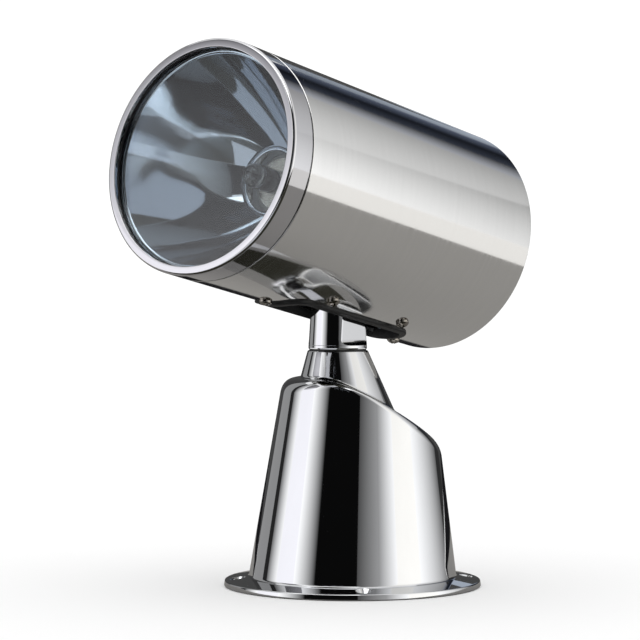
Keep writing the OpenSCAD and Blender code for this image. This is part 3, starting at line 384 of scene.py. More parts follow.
class SEARCHLIGHT_OT_pedestal(bpy.types.Operator):
    """Cast pedestal: a flange, a leaning wall, a sloped shoulder and an oblique neck in one skin"""
    bl_idname = "searchlight.pedestal"
    bl_label = "Pedestal"

    STEPS = 288
    SINK_STEPS = 12          # ring steps over a countersink
    RADIAL_STEPS = 4
    SLACK = 0.05             # lets a patch's own edge points count as inside it
    PLATE_R, LEDGE_Z = 62.6, 4.5
    GROOVE = (64.0, 67.4, 1.5)
    BORE, LIP_R, LIP_Z = 12.02, 15.02, 2.0
    LOW_EDGE = (0.4, 0.12)   # broken lower edge of the flange: its size, and the depth of its middle
    EDGE_LEAN = 0.3          # draft of the flange's edge
    EDGE_ROUND = 0.8
    DISH = (1.8, 0.4)        # rise of the flange's top at the wall, and its fall at the edge
    SINK_EDGE = (0.12, 0.05)  # broken rim of a countersink: inward and down
    WALL_START = 1.2         # fillets above the flange
    NECK_ROUND = 0.7

    def flange_top(self, shape, sizes):
        """Radius and height of the flange's dished top at the wall's fillet and at the edge."""
        rise, fall = self.DISH
        inner = shape.base_r - shape.wall_slope * rise + mm(sizes.foot_fillet)
        outer = mm(sizes.flange_radius) - self.EDGE_LEAN - self.EDGE_ROUND
        return (inner, shape.foot_z + rise), (outer, shape.foot_z - fall)

    def level(self, r, ends):
        """Height of the dished top at a radius."""
        (inner, high), (outer, low) = ends
        return high + (low - high) * (r - inner) / (outer - inner)

    def flange_rings(self, shape, sizes):
        """Radii and heights out under the flange, round its edge and in to the wall."""
        r, fillet, curve = mm(sizes.flange_radius), mm(sizes.foot_fillet), self.EDGE_ROUND
        ends = self.flange_top(shape, sizes)
        (flat_in, high), (flat_out, low) = ends
        inner, outer, deep = self.GROOVE
        broken, middle = self.LOW_EDGE
        across = shares(self.RADIAL_STEPS)
        rings = [(self.PLATE_R, 0), (inner, 0), (inner, deep), (outer, deep), (outer, 0)]
        rings += [(outer + (r - broken - outer) * t, 0) for t in across]
        rings += [(r - middle, middle), (r, broken), (r - self.EDGE_LEAN, low - curve)]
        rings += [(flat_out + curve * math.cos(t), low - curve + curve * math.sin(t))
                  for t in angles(18, 18, 5)]
        radii = [flat_out + (flat_in - flat_out) * t for t in across]
        rings += [(radius, self.level(radius, ends)) for radius in radii]
        return rings + [(flat_in - fillet * math.sin(t), high + fillet - fillet * math.cos(t))
                        for t in angles(14, 14, 5)]

    def rings(self, shape, sizes):
        """Rings of the whole skin: the flange, up the outside, and back down inside."""
        x, z, curve = shape.pan_x, shape.neck_z, self.NECK_ROUND
        foot = self.flange_top(shape, sizes)[0][1] + mm(sizes.foot_fillet) * self.WALL_START
        outside = [lambda a, t=t: shape.wall(a, foot * (1 - t) + shape.rim(a, 0).z * t)
                   for t in shares(12, 0)]
        outside += [lambda a, t=t: shape.rim(a, t) for t in shares(14)]
        outside += [lambda a, t=t: shape.roof(a, t) for t in shares(10)]
        outside += [lambda a, t=t: shape.neck_fillet(a, t) for t in shares(6)]
        outside += [lambda a, t=t: shape.neck(
            a, (1 - t) * shape.neck_fillet(a, 1).z + t * (z - curve)) for t in shares(4)]
        outside += [lambda a, t=t: shape.neck(
            a, z - curve * (1 - math.sin(t)), curve * (1 - math.cos(t))) for t in angles(30, 30, 3)]
        seat = [circle(self.LIP_R, z, x), circle(self.LIP_R, z - self.LIP_Z, x),
                circle(self.BORE, z - self.LIP_Z, x)]
        inside = [lambda a, t=t: shape.under_roof(a, t, self.BORE) for t in shares(4, 0)]
        inside += [lambda a, t=t: shape.wall(
            a, shape.under_roof(a, 1, self.BORE).z * (1 - t) + self.LEDGE_Z * t, shape.WALL)
            for t in shares(4)]
        ledge = [circle(self.PLATE_R, self.LEDGE_Z), circle(self.PLATE_R, 0)]
        flange = [circle(*ring) for ring in self.flange_rings(shape, sizes)]
        return flange + outside + seat + inside + ledge

    def open_patch(self, bm, bearing, level, limits):
        """Takes out the faces round a bolt that lie at level(radius), and returns the hole's edges."""
        half = (self.SINK_STEPS / 2 + self.SLACK) * TURN / self.STEPS

        def inside(vert):
            r, turn = math.hypot(vert.co.x, vert.co.y), math.atan2(vert.co.y, vert.co.x) - bearing
            return (abs(vert.co.z - level(r)) < MERGE
                    and abs((turn + math.pi) % TURN - math.pi) < half
                    and limits[0] - self.SLACK < r < limits[1] + self.SLACK)

        patch = [f for f in bm.faces if all(inside(v) for v in f.verts)]
        rim = outline_edges(patch)
        bmesh.ops.delete(bm, geom=patch, context="FACES")
        return rim

    def sink_bolt(self, bm, bearing, shape, sizes):
        ends = self.flange_top(shape, sizes)
        wide, narrow = mm(sizes.bolt_sink) / 2, mm(sizes.bolt_hole) / 2
        place = Vector((math.cos(bearing), math.sin(bearing), 0)) * mm(sizes.bolt_ring)
        rim = self.open_patch(bm, bearing, lambda r: self.level(r, ends), (ends[0][0], ends[1][0]))
        foot = self.open_patch(bm, bearing, lambda r: 0.0,
                               (self.GROOVE[1], mm(sizes.flange_radius) - self.LOW_EDGE[0]))
        verts = bmesh.ops.create_circle(bm, cap_ends=False, radius=wide, segments=len(rim),
                                        matrix=Matrix.Translation(place))["verts"]
        for vert in verts:
            vert.co.z = self.level(math.hypot(vert.co.x, vert.co.y), ends)
        loop = edges_between(verts)
        bmesh.ops.bridge_loops(bm, edges=rim + loop)
        seat = self.level(mm(sizes.bolt_ring), ends) - (wide - narrow)
        inward, down = self.SINK_EDGE
        for radius, height in ((wide - inward, lambda r: self.level(r, ends) - down),
                               (narrow, lambda r: seat), (narrow, lambda r: 0.0)):

            def on_hole(vert):
                out = Vector((vert.co.x - place.x, vert.co.y - place.y, 0)).normalized()
                spot = place + out * radius
                return (spot.x, spot.y, height(spot.length))

            loop = extrude_ring(bm, loop, on_hole)
        bmesh.ops.bridge_loops(bm, edges=foot + loop)

    def execute(self, context):
        sizes = pedestal_sizes()
        shape = PedestalShape(sizes)
        bm = bmesh.new()
        skin(bm, self.rings(shape, sizes), self.STEPS)
        for quarter in range(4):
            self.sink_bolt(bm, quarter * TURN / 4, shape, sizes)
        make_piece(bm, "pedestal", Matrix.Identity(4), "base", "polished_steel", ["base_casting"],
                   cast_steel_finish())
        return {"FINISHED"}


class SEARCHLIGHT_OT_post(bpy.types.Operator):
    """Turning post: a shaft, a round foot and two flats that run up into the lamp"""
    bl_idname = "searchlight.post"
    bl_label = "Turning post"

    STEPS = 144
    CENTRE_R = 0.5                    # first ring at the shaft's end
    SHAFT_R, SHAFT_END, SHAFT_EDGE = 9.0, 20.0, 0.5
    FOOT_R, FOOT_Z, FOOT_H = 18.2, 147.3, 2.6
    LOW_EDGE, TOP_EDGE = (0.3, 0.1), (0.4, 0.12, 0.2)     # broken edges of the foot
    TOP_R, TAPER = 17.0, 18.0
    FLAT, FILLET = 12.8, 3.6
    ARC = math.radians(48)            # the part of a quarter's points that lies on the round

    def outline(self, z, radius, half=0.0):
        """A circle, or with half a circle cut by two flats. The round and the flats keep the same
        share of points, so that one skin runs from the round foot to the cut top."""
        edge = math.asin(min(1, half / radius if half else (self.FLAT + self.FILLET) / self.FOOT_R))

        def point(a):
            side, front = math.copysign(1, math.sin(a)), math.copysign(1, math.cos(a))
            turn = abs(math.atan2(math.sin(a), abs(math.cos(a))))
            past = round((turn - self.ARC) / (math.pi / 2 - self.ARC), 9)
            if past > 0 and half:
                return Vector((front * radius * math.cos(edge) * (1 - past), side * half, z))
            on = edge + past * (math.pi / 2 - edge) if past > 0 else turn * edge / self.ARC
            return Vector((front * radius * math.cos(on), side * radius * math.sin(on), z))

        return point

    def execute(self, context):
        flats_z, top_z, r = self.FOOT_Z + self.FOOT_H, mm(TILT_POINT.z), self.FOOT_R
        low, low_middle = self.LOW_EDGE
        high, high_middle, high_in = self.TOP_EDGE

        def cut(z, half):
            lean = min(1, (z - flats_z) / self.TAPER)
            return self.outline(z, r - (r - self.TOP_R) * lean, half)

        rings = [self.outline(z, radius) for z, radius in (
            (self.SHAFT_END, self.CENTRE_R), (self.SHAFT_END, self.SHAFT_R - self.SHAFT_EDGE),
            (self.SHAFT_END + self.SHAFT_EDGE, self.SHAFT_R), (self.FOOT_Z, self.SHAFT_R),
            (self.FOOT_Z, r - low), (self.FOOT_Z + low_middle, r - low_middle),
            (self.FOOT_Z + low, r), (flats_z - high, r),
            (flats_z - high_middle, r - high_middle))]
        rings.append(self.outline(flats_z, r - high_in, self.FLAT + self.FILLET))
        rings += [cut(flats_z + self.FILLET * (1 - math.cos(t)),
                      self.FLAT + self.FILLET * (1 - math.sin(t))) for t in angles(90 / 7, 90 / 7, 7)]
        rings += [cut(z, self.FLAT) for z in (flats_z + self.TAPER * 0.6, flats_z + self.TAPER, top_z)]
        for t in angles(11, 11, 8):
            level = self.outline(top_z + self.TOP_R * math.sin(t), self.TOP_R, self.FLAT)
            rings.append(lambda a, level=level, t=t: level(a) * Vector((math.cos(t), 1, 1)))
        bm = bmesh.new()
        last = skin(bm, rings, self.STEPS)
        bmesh.ops.edgeloop_fill(bm, edges=last)
        bmesh.ops.holes_fill(bm, edges=bm.edges[:], sides=0)
        make_piece(bm, "turning_post", turret_place(), "turret", "polished_steel", ["turret_post"],
                   cast_steel_finish())
        return {"FINISHED"}


# ---- lamp


def lamp_lathe(name, corners, slot, nodes, finish, **more):
    """A turned piece of the lamp. A corner is (distance aft of the front face, radius, rounding)."""
    bm = bmesh.new()
    ahead = mm(lamp_sizes().lamp_ahead)
    lathe(bm, [(s - ahead, r, rounding) for s, r, rounding in corners])
    return make_piece(bm, name, lamp_place(), "head", slot, nodes, finish, **more)


def wrap_under(bm, radius):
    """Bends flat work round the barrel's underside: x stays, y goes round, z is height."""
    for vert in bm.verts:
        turn = math.asin(vert.co.y / radius)
        r = radius + vert.co.z
        vert.co = (vert.co.x, r * math.sin(turn), -r * math.cos(turn))


class SEARCHLIGHT_OT_barrel(bpy.types.Operator):
    """Barrel: a rolled tube with a slot in its underside, and the pressed cover in its rear end"""
    bl_idname = "searchlight.barrel"
    bl_label = "Barrel and rear cover"

    TURN_STEPS = 240
    SLOT = (110.0, 35.4, 11.0)   # length, width, corner radius
    PATCH = (112.0, 10, 56)      # length, steps to each side, steps along
    END_STEPS = (8, 6)           # steps from the patch to the front and to the rear
    SEAM = 0.8                   # gap behind the front ring
    EDGE = 0.45                  # rounding of the sheet's edges
    COVER_SHEET = 1.5
    COVER_FACE, COVER_RIM, COVER_SKIRT = 2.0, 0.4, 5.0     # depths inside the rear end
    COVER_STEP, COVER_RISE = 0.86, 3.0    # the face's share of the radius, width of the step round it

    def tube(self, sizes):
        r, ahead = mm(sizes.barrel_radius), mm(sizes.lamp_ahead)
        front, rear = mm(sizes.ring_width) + self.SEAM - ahead, mm(sizes.lamp_length) - ahead
        patch, sides, along = self.PATCH
        middle, reach = mm(sizes.slot_aft), sides * TURN / self.TURN_STEPS
        lines = [front]
        for stop, steps in ((middle - patch / 2, self.END_STEPS[0]), (middle + patch / 2, along),
                            (rear, self.END_STEPS[1])):
            last = lines[-1]
            lines += [last + (stop - last) * t for t in shares(steps)]
        bm = bmesh.new()
        columns = len(lines) - 1
        verts = bmesh.ops.create_grid(bm, x_segments=columns, y_segments=self.TURN_STEPS,
                                      size=1)["verts"]
        for vert in verts:
            vert.co = (lines[round((vert.co.x + 1) / 2 * columns)], vert.co.y * math.pi, 0)
        cut = [f for f in bm.faces if abs(f.calc_center_median().x - middle) < patch / 2
               and abs(f.calc_center_median().y) < reach]
        rim = outline_edges(cut)
        bmesh.ops.delete(bm, geom=cut, context="FACES")

        def in_slot(vert):
            point = on_slot((vert.co.x - middle) / (patch / 2), vert.co.y / reach, *self.SLOT)
            return (middle + point.x, math.asin(point.y / r), 0)

        extrude_ring(bm, rim, in_slot)
        for vert in bm.verts:
            turn = vert.co.y
            vert.co = (vert.co.x, r * math.sin(turn), -r * math.cos(turn))
        make_piece(bm, "barrel_tube", lamp_place(), "head", "satin_steel", ["barrel"],
                   tube_steel_finish(), wall=mm(sizes.barrel_wall), edge=self.EDGE)

    def cover(self, sizes):
        inside, end = mm(sizes.barrel_radius) - mm(sizes.barrel_wall), mm(sizes.lamp_length)
        out, step, sheet = inside - CLEAR, inside * self.COVER_STEP, self.COVER_SHEET
        face, rim, skirt = end - self.COVER_FACE, end - self.COVER_RIM, end - self.COVER_SKIRT
        rise = step + self.COVER_RISE
        lamp_lathe("rear_cover_dish", [
            (face - sheet, 0, 0), (face, 0, 0), (face, step, 1.2), (rim, rise, 1.2),
            (rim, out, 1.0), (skirt, out, 0), (skirt, out - sheet, 0),
            (rim - sheet, out - sheet, 0.4), (rim - sheet, rise + sheet / 2, 0.8),
            (face - sheet, step + sheet / 2, 0.8)],
            "pressed_steel", ["rear_cover"], pressed_steel_finish())

    def execute(self, context):
        self.tube(lamp_sizes())
        self.cover(lamp_sizes())
        return {"FINISHED"}


class SEARCHLIGHT_OT_front(bpy.types.Operator):
    """Front of the lamp: the turned ring, its rubber seal, the lens and the reflector"""
    bl_idname = "searchlight.front"
    bl_label = "Front ring, lens and reflector"

    BORE_IN = 4.05           # wall of the front ring round the lens
    LIP = 2.5                # thickness of the front ring's face
    SPIGOT = 10.0            # length of the front ring in the barrel
    SEAL_IN = 0.3            # how far the seal shows inside the front ring
    DISH_STEPS = 44
    SHEET, ROLL = 1.0, 3.8   # thickness of the reflector, width of its rolled rim
    HOLE_R, COLLAR = 19.0, 12.0
    BEAD = 0.9               # rolled edge round the bulb hole

    def dish(self, rim_s, stack, focal):
        """Outline of the reflector: a parabola between a bead round the hole and a rolled rim."""
        hole, sheet, bead = self.HOLE_R, self.SHEET, self.BEAD
        rim_r, roll = stack - self.ROLL, self.ROLL / 2
        vertex = rim_s + rim_r ** 2 / (4 * focal)

        def depth(radius):
            return vertex - radius ** 2 / (4 * focal)

        radii = [hole + (rim_r - hole) * t for t in shares(self.DISH_STEPS, 0)]
        hole_s = depth(hole)
        outline = [(hole_s + bead, hole)]
        outline += [(hole_s + bead / 2 - bead * math.sin(t), hole + bead * (1 - math.cos(t)))
                    for t in angles(20, 20, 8)]
        outline += [(depth(x), x) for x in radii if x > hole + 2 * bead]
        outline += [(rim_s + roll * (1 - math.sin(t)), rim_r + roll * (1 - math.cos(t)))
                    for t in angles(45, 15, 10)]
        outline += [(rim_s + 2 * roll, stack), (rim_s + 2 * roll, rim_r + sheet)]
        outline += [(depth(x) + sheet, x + sheet) for x in reversed(radii[:-1])]
        return outline + [(hole_s + self.COLLAR, hole + sheet), (hole_s + self.COLLAR, hole)]

    def execute(self, context):
        sizes = lamp_sizes()
        r, width = mm(sizes.barrel_radius), mm(sizes.ring_width)
        lip, bore = r - mm(sizes.ring_face), r - self.BORE_IN
        spigot, rear = r - mm(sizes.barrel_wall) - CLEAR, width + self.SPIGOT
        stack, seal = bore - CLEAR, lip - self.SEAL_IN
        glass = mm(sizes.lens_back)
        back = glass + mm(sizes.lens_thickness)
        lamp_lathe("front_ring", [
            (0, lip, 0.5), (0, r, 1.9), (width, r, 0.7), (width, spigot, 0.2),
            (rear, spigot, 0.4), (rear, bore, 0.2), (self.LIP, bore, 0), (self.LIP, lip, 0.2)],
            "polished_bezel", ["bezel_ring"], ring_steel_finish())
        lamp_lathe("lens_seal", [
            (self.LIP, seal, 0.5), (self.LIP, stack, 0.2), (glass, stack, 0.2), (glass, seal, 0.5)],
            "rubber", ["lens_gasket"], rubber_finish())
        lamp_lathe("lens", [(glass, 0, 0), (glass, stack, 0.4), (back, stack, 0.4), (back, 0, 0)],
                   "lens_glass", ["lens_glass"], lens_finish())
        dish = self.dish(back + CLEAR, stack, mm(sizes.focal_length))
        lamp_lathe("reflector_dish", [(*spot, 0) for spot in dish],
                   "mirror_dish", ["reflector"], dish_finish(), sharp=45)
        return {"FINISHED"}


class SEARCHLIGHT_OT_bulb(bpy.types.Operator):
    """Bulb: a clear capsule with a pinched foot, and the wound filament on its two leads"""
    bl_idname = "searchlight.bulb"
    bl_label = "Bulb"

    RADIUS, FRONT, CAP, PINCH, WALL = 7.5, 47.3, 77.3, 71.3, 1.0
    FOCUS = 60.8
    COIL = (7.0, 1.0, 9, 14)                      # length, radius, turns, steps of a turn
    WIRE, WIRE_SIDES = 0.22, 8
    LEAD, LEAD_SIDES, LEAD_IN = 0.45, 12, 2.0     # radius, sides, length inside the pinch

    def execute(self, context):
        r, w = self.RADIUS, self.WALL
        lamp_lathe("bulb_capsule", [
            (self.FRONT, 0, 0), (self.FRONT, r, 6.4), (self.CAP, r, 0.5), (self.CAP, 0, 0),
            (self.PINCH, 0, 0), (self.PINCH, r - w, 2.5), (self.FRONT + w, r - w, 5.6),
            (self.FRONT + w, 0, 0)],
            "bulb_glass", ["bulb_glass"], bulb_glass_finish())
        focus = self.FOCUS - mm(lamp_sizes().lamp_ahead)
        long, coil_r, turns, steps = self.COIL
        bm = bmesh.new()
        wire = bmesh.ops.create_circle(bm, cap_ends=False, radius=self.WIRE,
                                       segments=self.WIRE_SIDES)["verts"]
        bmesh.ops.translate(bm, verts=wire, vec=(coil_r, 0, 0))
        bmesh.ops.spin(bm, geom=wire + edges_between(wire), cent=(0, 0, 0), axis=(0, 1, 0),
                       dvec=(0, long / turns / steps, 0), angle=TURN * turns,
                       steps=turns * steps, use_merge=False, use_duplicate=False)
        bmesh.ops.holes_fill(bm, edges=bm.edges[:], sides=0)
        bmesh.ops.translate(bm, verts=bm.verts[:], vec=(focus, -long / 2, 0))
        lead = self.PINCH + self.LEAD_IN - self.FOCUS
        turn = Matrix.Rotation(math.pi / 2, 4, "Y")
        for side in (-1, 1):
            middle = Matrix.Translation((focus + lead / 2, side * long / 2, coil_r))
            bmesh.ops.create_cone(bm, cap_ends=True, segments=self.LEAD_SIDES, radius1=self.LEAD,
                                  radius2=self.LEAD, depth=lead, matrix=middle @ turn)
        make_piece(bm, "filament", lamp_place(), "head", "tungsten", ["bulb_filament"],
                   tungsten_finish())
        return {"FINISHED"}


class SEARCHLIGHT_OT_edging(bpy.types.Operator):
    """Rubber edging: a rounded frame that grips the slot's edge and follows the barrel"""
    bl_idname = "searchlight.edging"
    bl_label = "Slot edging"

    SIZE = (116.5, 42.0)
    CORNER = 12.5
    LIP, NECK, DEEP = 3.4, 1.0, 4.2
    OUTER_ROUND, INNER_ROUND = 1.2, 0.6
    STEPS = 240

    def loop(self, inset, z):
        """The edging's outline at a distance inside its outer edge."""
        long, wide = (side - 2 * inset for side in self.SIZE)

        def point(a):
            x, y = math.cos(a), math.sin(a)
            square = max(abs(x), abs(y))
            spot = on_slot(x / square, y / square, long, wide, self.CORNER - inset)
            return Vector((spot.x, spot.y, z))

        return point

    def profile(self, high):
        """Insets and heights round the edging's section: a rounded lip, and a neck in the slot."""
        out, into, wide = self.OUTER_ROUND, self.INNER_ROUND, self.LIP + self.NECK
        quarter = angles(0, 15, 7)
        section = [(0.0, 0.0)]
        section += [(out - out * math.cos(t), high - out + out * math.sin(t)) for t in quarter]
        section += [(wide - into + into * math.sin(t), high - into + into * math.cos(t))
                    for t in quarter]
        return section + [(wide, -self.DEEP), (self.LIP, -self.DEEP), (self.LIP, 0.0), (0.0, 0.0)]

    def execute(self, context):
        sizes = lamp_sizes()
        bm = bmesh.new()
        skin(bm, [self.loop(*spot) for spot in self.profile(mm(sizes.edging_height))], self.STEPS)
        bmesh.ops.translate(bm, verts=bm.verts[:], vec=(mm(sizes.slot_aft), 0, 0))
        wrap_under(bm, mm(sizes.barrel_radius))
        make_piece(bm, "slot_edging", lamp_place(), "head", "rubber", ["slot_trim"], rubber_finish())
        return {"FINISHED"}


class SEARCHLIGHT_OT_screws(bpy.types.Operator):
    """Barrel screws: six pan heads with a cross recess, on the underside beside the slot"""
    bl_idname = "searchlight.screws"
    bl_label = "Barrel screws"

    HEAD, DOME, SHANK_R, SHANK = 3.3, 2.0, 2.0, 7.0
    UNDER = (0.2, -0.15)                         # inset and level of the head's underside
    EDGE = 0.1                                   # height of the head's broken edges
    DOME_RINGS = (0.98, 0.94, 0.88, 0.8, 0.7)    # shares of the head's radius
    CROSS = (4.4, 1.1, 1.5)                      # length, width, depth
    CROSS_FLOOR = 0.72                           # the recess's floor against its mouth
    CROSS_TURNS = (0.4, 0.9)                     # turn of the first cross, further turn of the next
    END_X, SIDE_X, SIDE_TURN = 65.0, 35.5, math.radians(23)
    SIDES, SHANK_SIDES = 36, 24

    def recess_mouth(self, bm, level):
        """The outline of the cross, laid on the dome."""
        long, wide, _ = self.CROSS
        known = set(bm.edges)
        grid = bmesh.ops.create_grid(bm, x_segments=3, y_segments=3, size=1)["verts"]
        for vert in grid:
            for axis in (0, 1):
                place = vert.co[axis]
                vert.co[axis] = math.copysign(long / 2 if abs(place) > 0.9 else wide / 2, place)
        tips = [v for v in grid if abs(v.co.x) > wide and abs(v.co.y) > wide]
        bmesh.ops.delete(bm, geom=tips, context="VERTS")
        cross = [f for f in bm.faces if not known.intersection(f.edges)]
        outline = outline_edges(cross)
        inner = {e for f in cross for e in f.edges} - set(outline)
        bmesh.ops.delete(bm, geom=cross, context="FACES_ONLY")
        bmesh.ops.delete(bm, geom=list(inner), context="EDGES")
        bmesh.ops.subdivide_edges(bm, edges=outline, cuts=2)
        mouth = [e for e in bm.edges if e not in known]
        for vert in {v for e in mouth for v in e.verts}:
            vert.co.z = level(math.hypot(vert.co.x, vert.co.y))
        return mouth

    def one_screw(self, head_r):
        ball = (head_r ** 2 + self.DOME ** 2) / (2 * self.DOME)
        inset, under = self.UNDER

        def dome(r):
            return self.HEAD - ball + math.sqrt(ball ** 2 - r ** 2)

        bm = bmesh.new()
        side = [(head_r - inset, under), (head_r, self.EDGE),
                (head_r, self.HEAD - self.DOME - self.EDGE)]
        cap = [(head_r * share, dome(head_r * share)) for share in self.DOME_RINGS]
        last = skin(bm, [circle(*ring) for ring in side + cap], self.SIDES)
        mouth = self.recess_mouth(bm, dome)
        bmesh.ops.bridge_loops(bm, edges=last + mouth)
        floor_z, floor = self.HEAD - self.CROSS[2], self.CROSS_FLOOR
        edges = extrude_ring(bm, mouth, lambda v: (v.co.x * floor, v.co.y * floor, floor_z))
        bmesh.ops.edgeloop_fill(bm, edges=edges)
        bmesh.ops.holes_fill(bm, edges=bm.edges[:], sides=0)
        bmesh.ops.create_cone(bm, cap_ends=True, segments=self.SHANK_SIDES, radius1=self.SHANK_R,
                              radius2=self.SHANK_R, depth=self.SHANK,
                              matrix=Matrix.Translation((0, 0, -self.SHANK / 2)))
        mesh = bpy.data.meshes.new("one_screw")
        bm.to_mesh(mesh)
        bm.free()
        return mesh

    def execute(self, context):
        sizes = lamp_sizes()
        one = self.one_screw(mm(sizes.screw_head) / 2)
        places = [(x, 0.0) for x in (-self.END_X, self.END_X)]
        places += [(x, turn) for x in (-self.SIDE_X, self.SIDE_X)
                   for turn in (-self.SIDE_TURN, self.SIDE_TURN)]
        first, further = self.CROSS_TURNS
        bm = bmesh.new()
        for number, (x, turn) in enumerate(places):
            start = len(bm.verts)
            bm.from_mesh(one)
            bm.verts.ensure_lookup_table()
            place = (Matrix.Translation((mm(sizes.slot_aft) + x, 0, 0))
                     @ Matrix.Rotation(math.pi + turn, 4, "X")
                     @ Matrix.Translation((0, 0, mm(sizes.barrel_radius)))
                     @ Matrix.Rotation(first + further * number, 4, "Z"))
            bmesh.ops.transform(bm, matrix=place, verts=bm.verts[start:])
        bpy.data.meshes.remove(one)
        # The screws' finish has a darkened colour: painted shade.
        make_piece(bm, "barrel_screw_set", lamp_place(), "head", "screw_steel", ["barrel_screws"],
                   screw_steel_painted_shade_finish())
        return {"FINISHED"}


# ---- finishes


def add_node(tree, kind, values=None, links=None, **settings):
    """Adds a node, gives it its settings and socket values, and links other sockets to it."""
    made = tree.nodes.new(kind)
    for name, value in settings.items():
        setattr(made, name, value)
    for socket, value in (values or {}).items():
        made.inputs[socket].default_value = value
    for socket, source in (links or {}).items():
        tree.links.new(source, made.inputs[socket])
    return made


def shade(base, factor):
    return (*[min(1, c * factor) for c in base[:3]], 1.0)


def patterned(name, base, size, roughness, bump, tone=None, stretch=(1, 1, 1), place=None,
              detail=3.0, **values):
    """A material named for the real one. A noise pattern, about size millimetres wide, drives its
    roughness, its bump in millimetres and, with tone, its colour. Other values go to the shader."""
    known = bpy.data.materials.get(name)
    if known:
        return known
    finish = bpy.data.materials.new(name)
    finish.use_nodes = True
    tree = finish.node_tree
    shader = tree.nodes["Principled BSDF"]
    shader.inputs["Base Color"].default_value = base
    for socket, value in values.items():
        shader.inputs[socket.replace("_", " ")].default_value = value
    coords = add_node(tree, "ShaderNodeTexCoord")
    turn = (place or Matrix.Identity(4)).inverted().to_euler()
    spot = add_node(tree, "ShaderNodeMapping", {"Rotation": turn},
                    {"Vector": coords.outputs["Object"]})
    spread = add_node(tree, "ShaderNodeMapping", {"Scale": stretch},
                      {"Vector": spot.outputs["Vector"]})
    noise = add_node(tree, "ShaderNodeTexNoise", {"Scale": 1 / (size * MM), "Detail": detail},
                     {"Vector": spread.outputs["Vector"]})
    gloss = add_node(tree, "ShaderNodeMapRange",
                     {"From Min": NOISE_RANGE[0], "From Max": NOISE_RANGE[1],
                      "To Min": roughness[0], "To Max": roughness[1]},
                     {"Value": noise.outputs["Fac"]})
    tree.links.new(gloss.outputs["Result"], shader.inputs["Roughness"])
    if bump:
        raised = add_node(tree, "ShaderNodeBump", {"Strength": 1.0, "Distance": bump * MM},
                          {"Height": noise.outputs["Fac"]})
        tree.links.new(raised.outputs["Normal"], shader.inputs["Normal"])
    if tone:
        mix = add_node(tree, "ShaderNodeMix", {6: shade(base, tone[0]), 7: shade(base, tone[1])},
                       {"Factor": noise.outputs["Fac"]}, data_type="RGBA")
        tree.links.new(mix.outputs[2], shader.inputs["Base Color"])
    return finish


def cast_steel_finish():
    # Cast stainless steel, ground and buffed to a mirror: clear reflections, with the faint
    # waviness and haze that hand buffing leaves. The haze is drawn coarser than the real one.
    return patterned("cast stainless, mirror buffed", finishes().cast_steel, 9.0, (0.02, 0.05),
                     0.004, (0.97, 1.03), (1, 1, 0.35), Metallic=1.0)


def tube_steel_finish():
    # Rolled stainless tube, turned against a fine polishing belt: almost a mirror, with faint
    # rings of grain round the tube. The grain is drawn coarser than a real one.
    return patterned("stainless tube, belt polished", finishes().tube_steel, 1.6, (0.06, 0.12),
                     0.0008, (0.95, 1.03), (1, 0.04, 0.04), lamp_place(), Metallic=1.0)


def ring_steel_finish():
    # Turned stainless ring, buffed after turning.
    return patterned("turned stainless, buffed", finishes().ring_steel, 2.5, (0.04, 0.08),
                     0.0008, (0.98, 1.02), (1, 0.4, 0.4), lamp_place(), Metallic=1.0)


def pressed_steel_finish():
    # Pressed stainless sheet, a little darker than the tube, left with its satin mill finish.
    return patterned("stainless sheet, pressed", shade(finishes().tube_steel, 0.92), 0.8,
                     (0.16, 0.26), 0.001, (0.95, 1.05), (1, 0.03, 1), lamp_place(), Metallic=1.0)


def rubber_finish():
    # Moulded black EPDM rubber: dull, with the fine pitting of its mould.
    return patterned("EPDM rubber, moulded", finishes().rubber, 0.9, (0.42, 0.58), 0.03,
                     (0.75, 1.3), detail=2.0)


def screw_steel_painted_shade_finish():
    # Cold-headed stainless screws, tumbled bright. Their colour is darker than the plain screw steel: painted
    # shade, standing in for the dark reflections under the barrel.
    return patterned("stainless screws, tumbled", from_hex("96918A"), 0.7, (0.06, 0.14), 0.004,
                     (0.9, 1.05), Metallic=1.0)


def lens_finish():
    # Clear tempered float glass: smooth on both faces, faintly green-blue in its thickness.
    return patterned("float glass, tempered", finishes().lens, 40.0, (0.0, 0.012), 0,
                     IOR=1.52, Transmission_Weight=1.0)


def bulb_glass_finish():
    # Blown quartz capsule: clear, with slow waves in its wall.
    return patterned("quartz capsule, blown", from_hex("F4F6F7"), 6.0, (0.0, 0.03), 0.05,
                     IOR=1.46, Transmission_Weight=1.0)


def dish_finish():
    # Spun aluminium, lacquered and vacuum-aluminised: a blue-white mirror with slow waves
    # that the spinning left.
    return patterned("spun aluminium, vacuum aluminised", finishes().dish, 34.0, (0.05, 0.08), 0.3,
                     (0.96, 1.04), place=lamp_place(), detail=1.0, Metallic=1.0)


def tungsten_finish():
    # Drawn tungsten wire, darkened by heat.
    return patterned("tungsten wire, drawn", from_hex("6E6A66"), 0.4, (0.3, 0.45), 0.004,
                     (0.8, 1.2), Metallic=1.0)


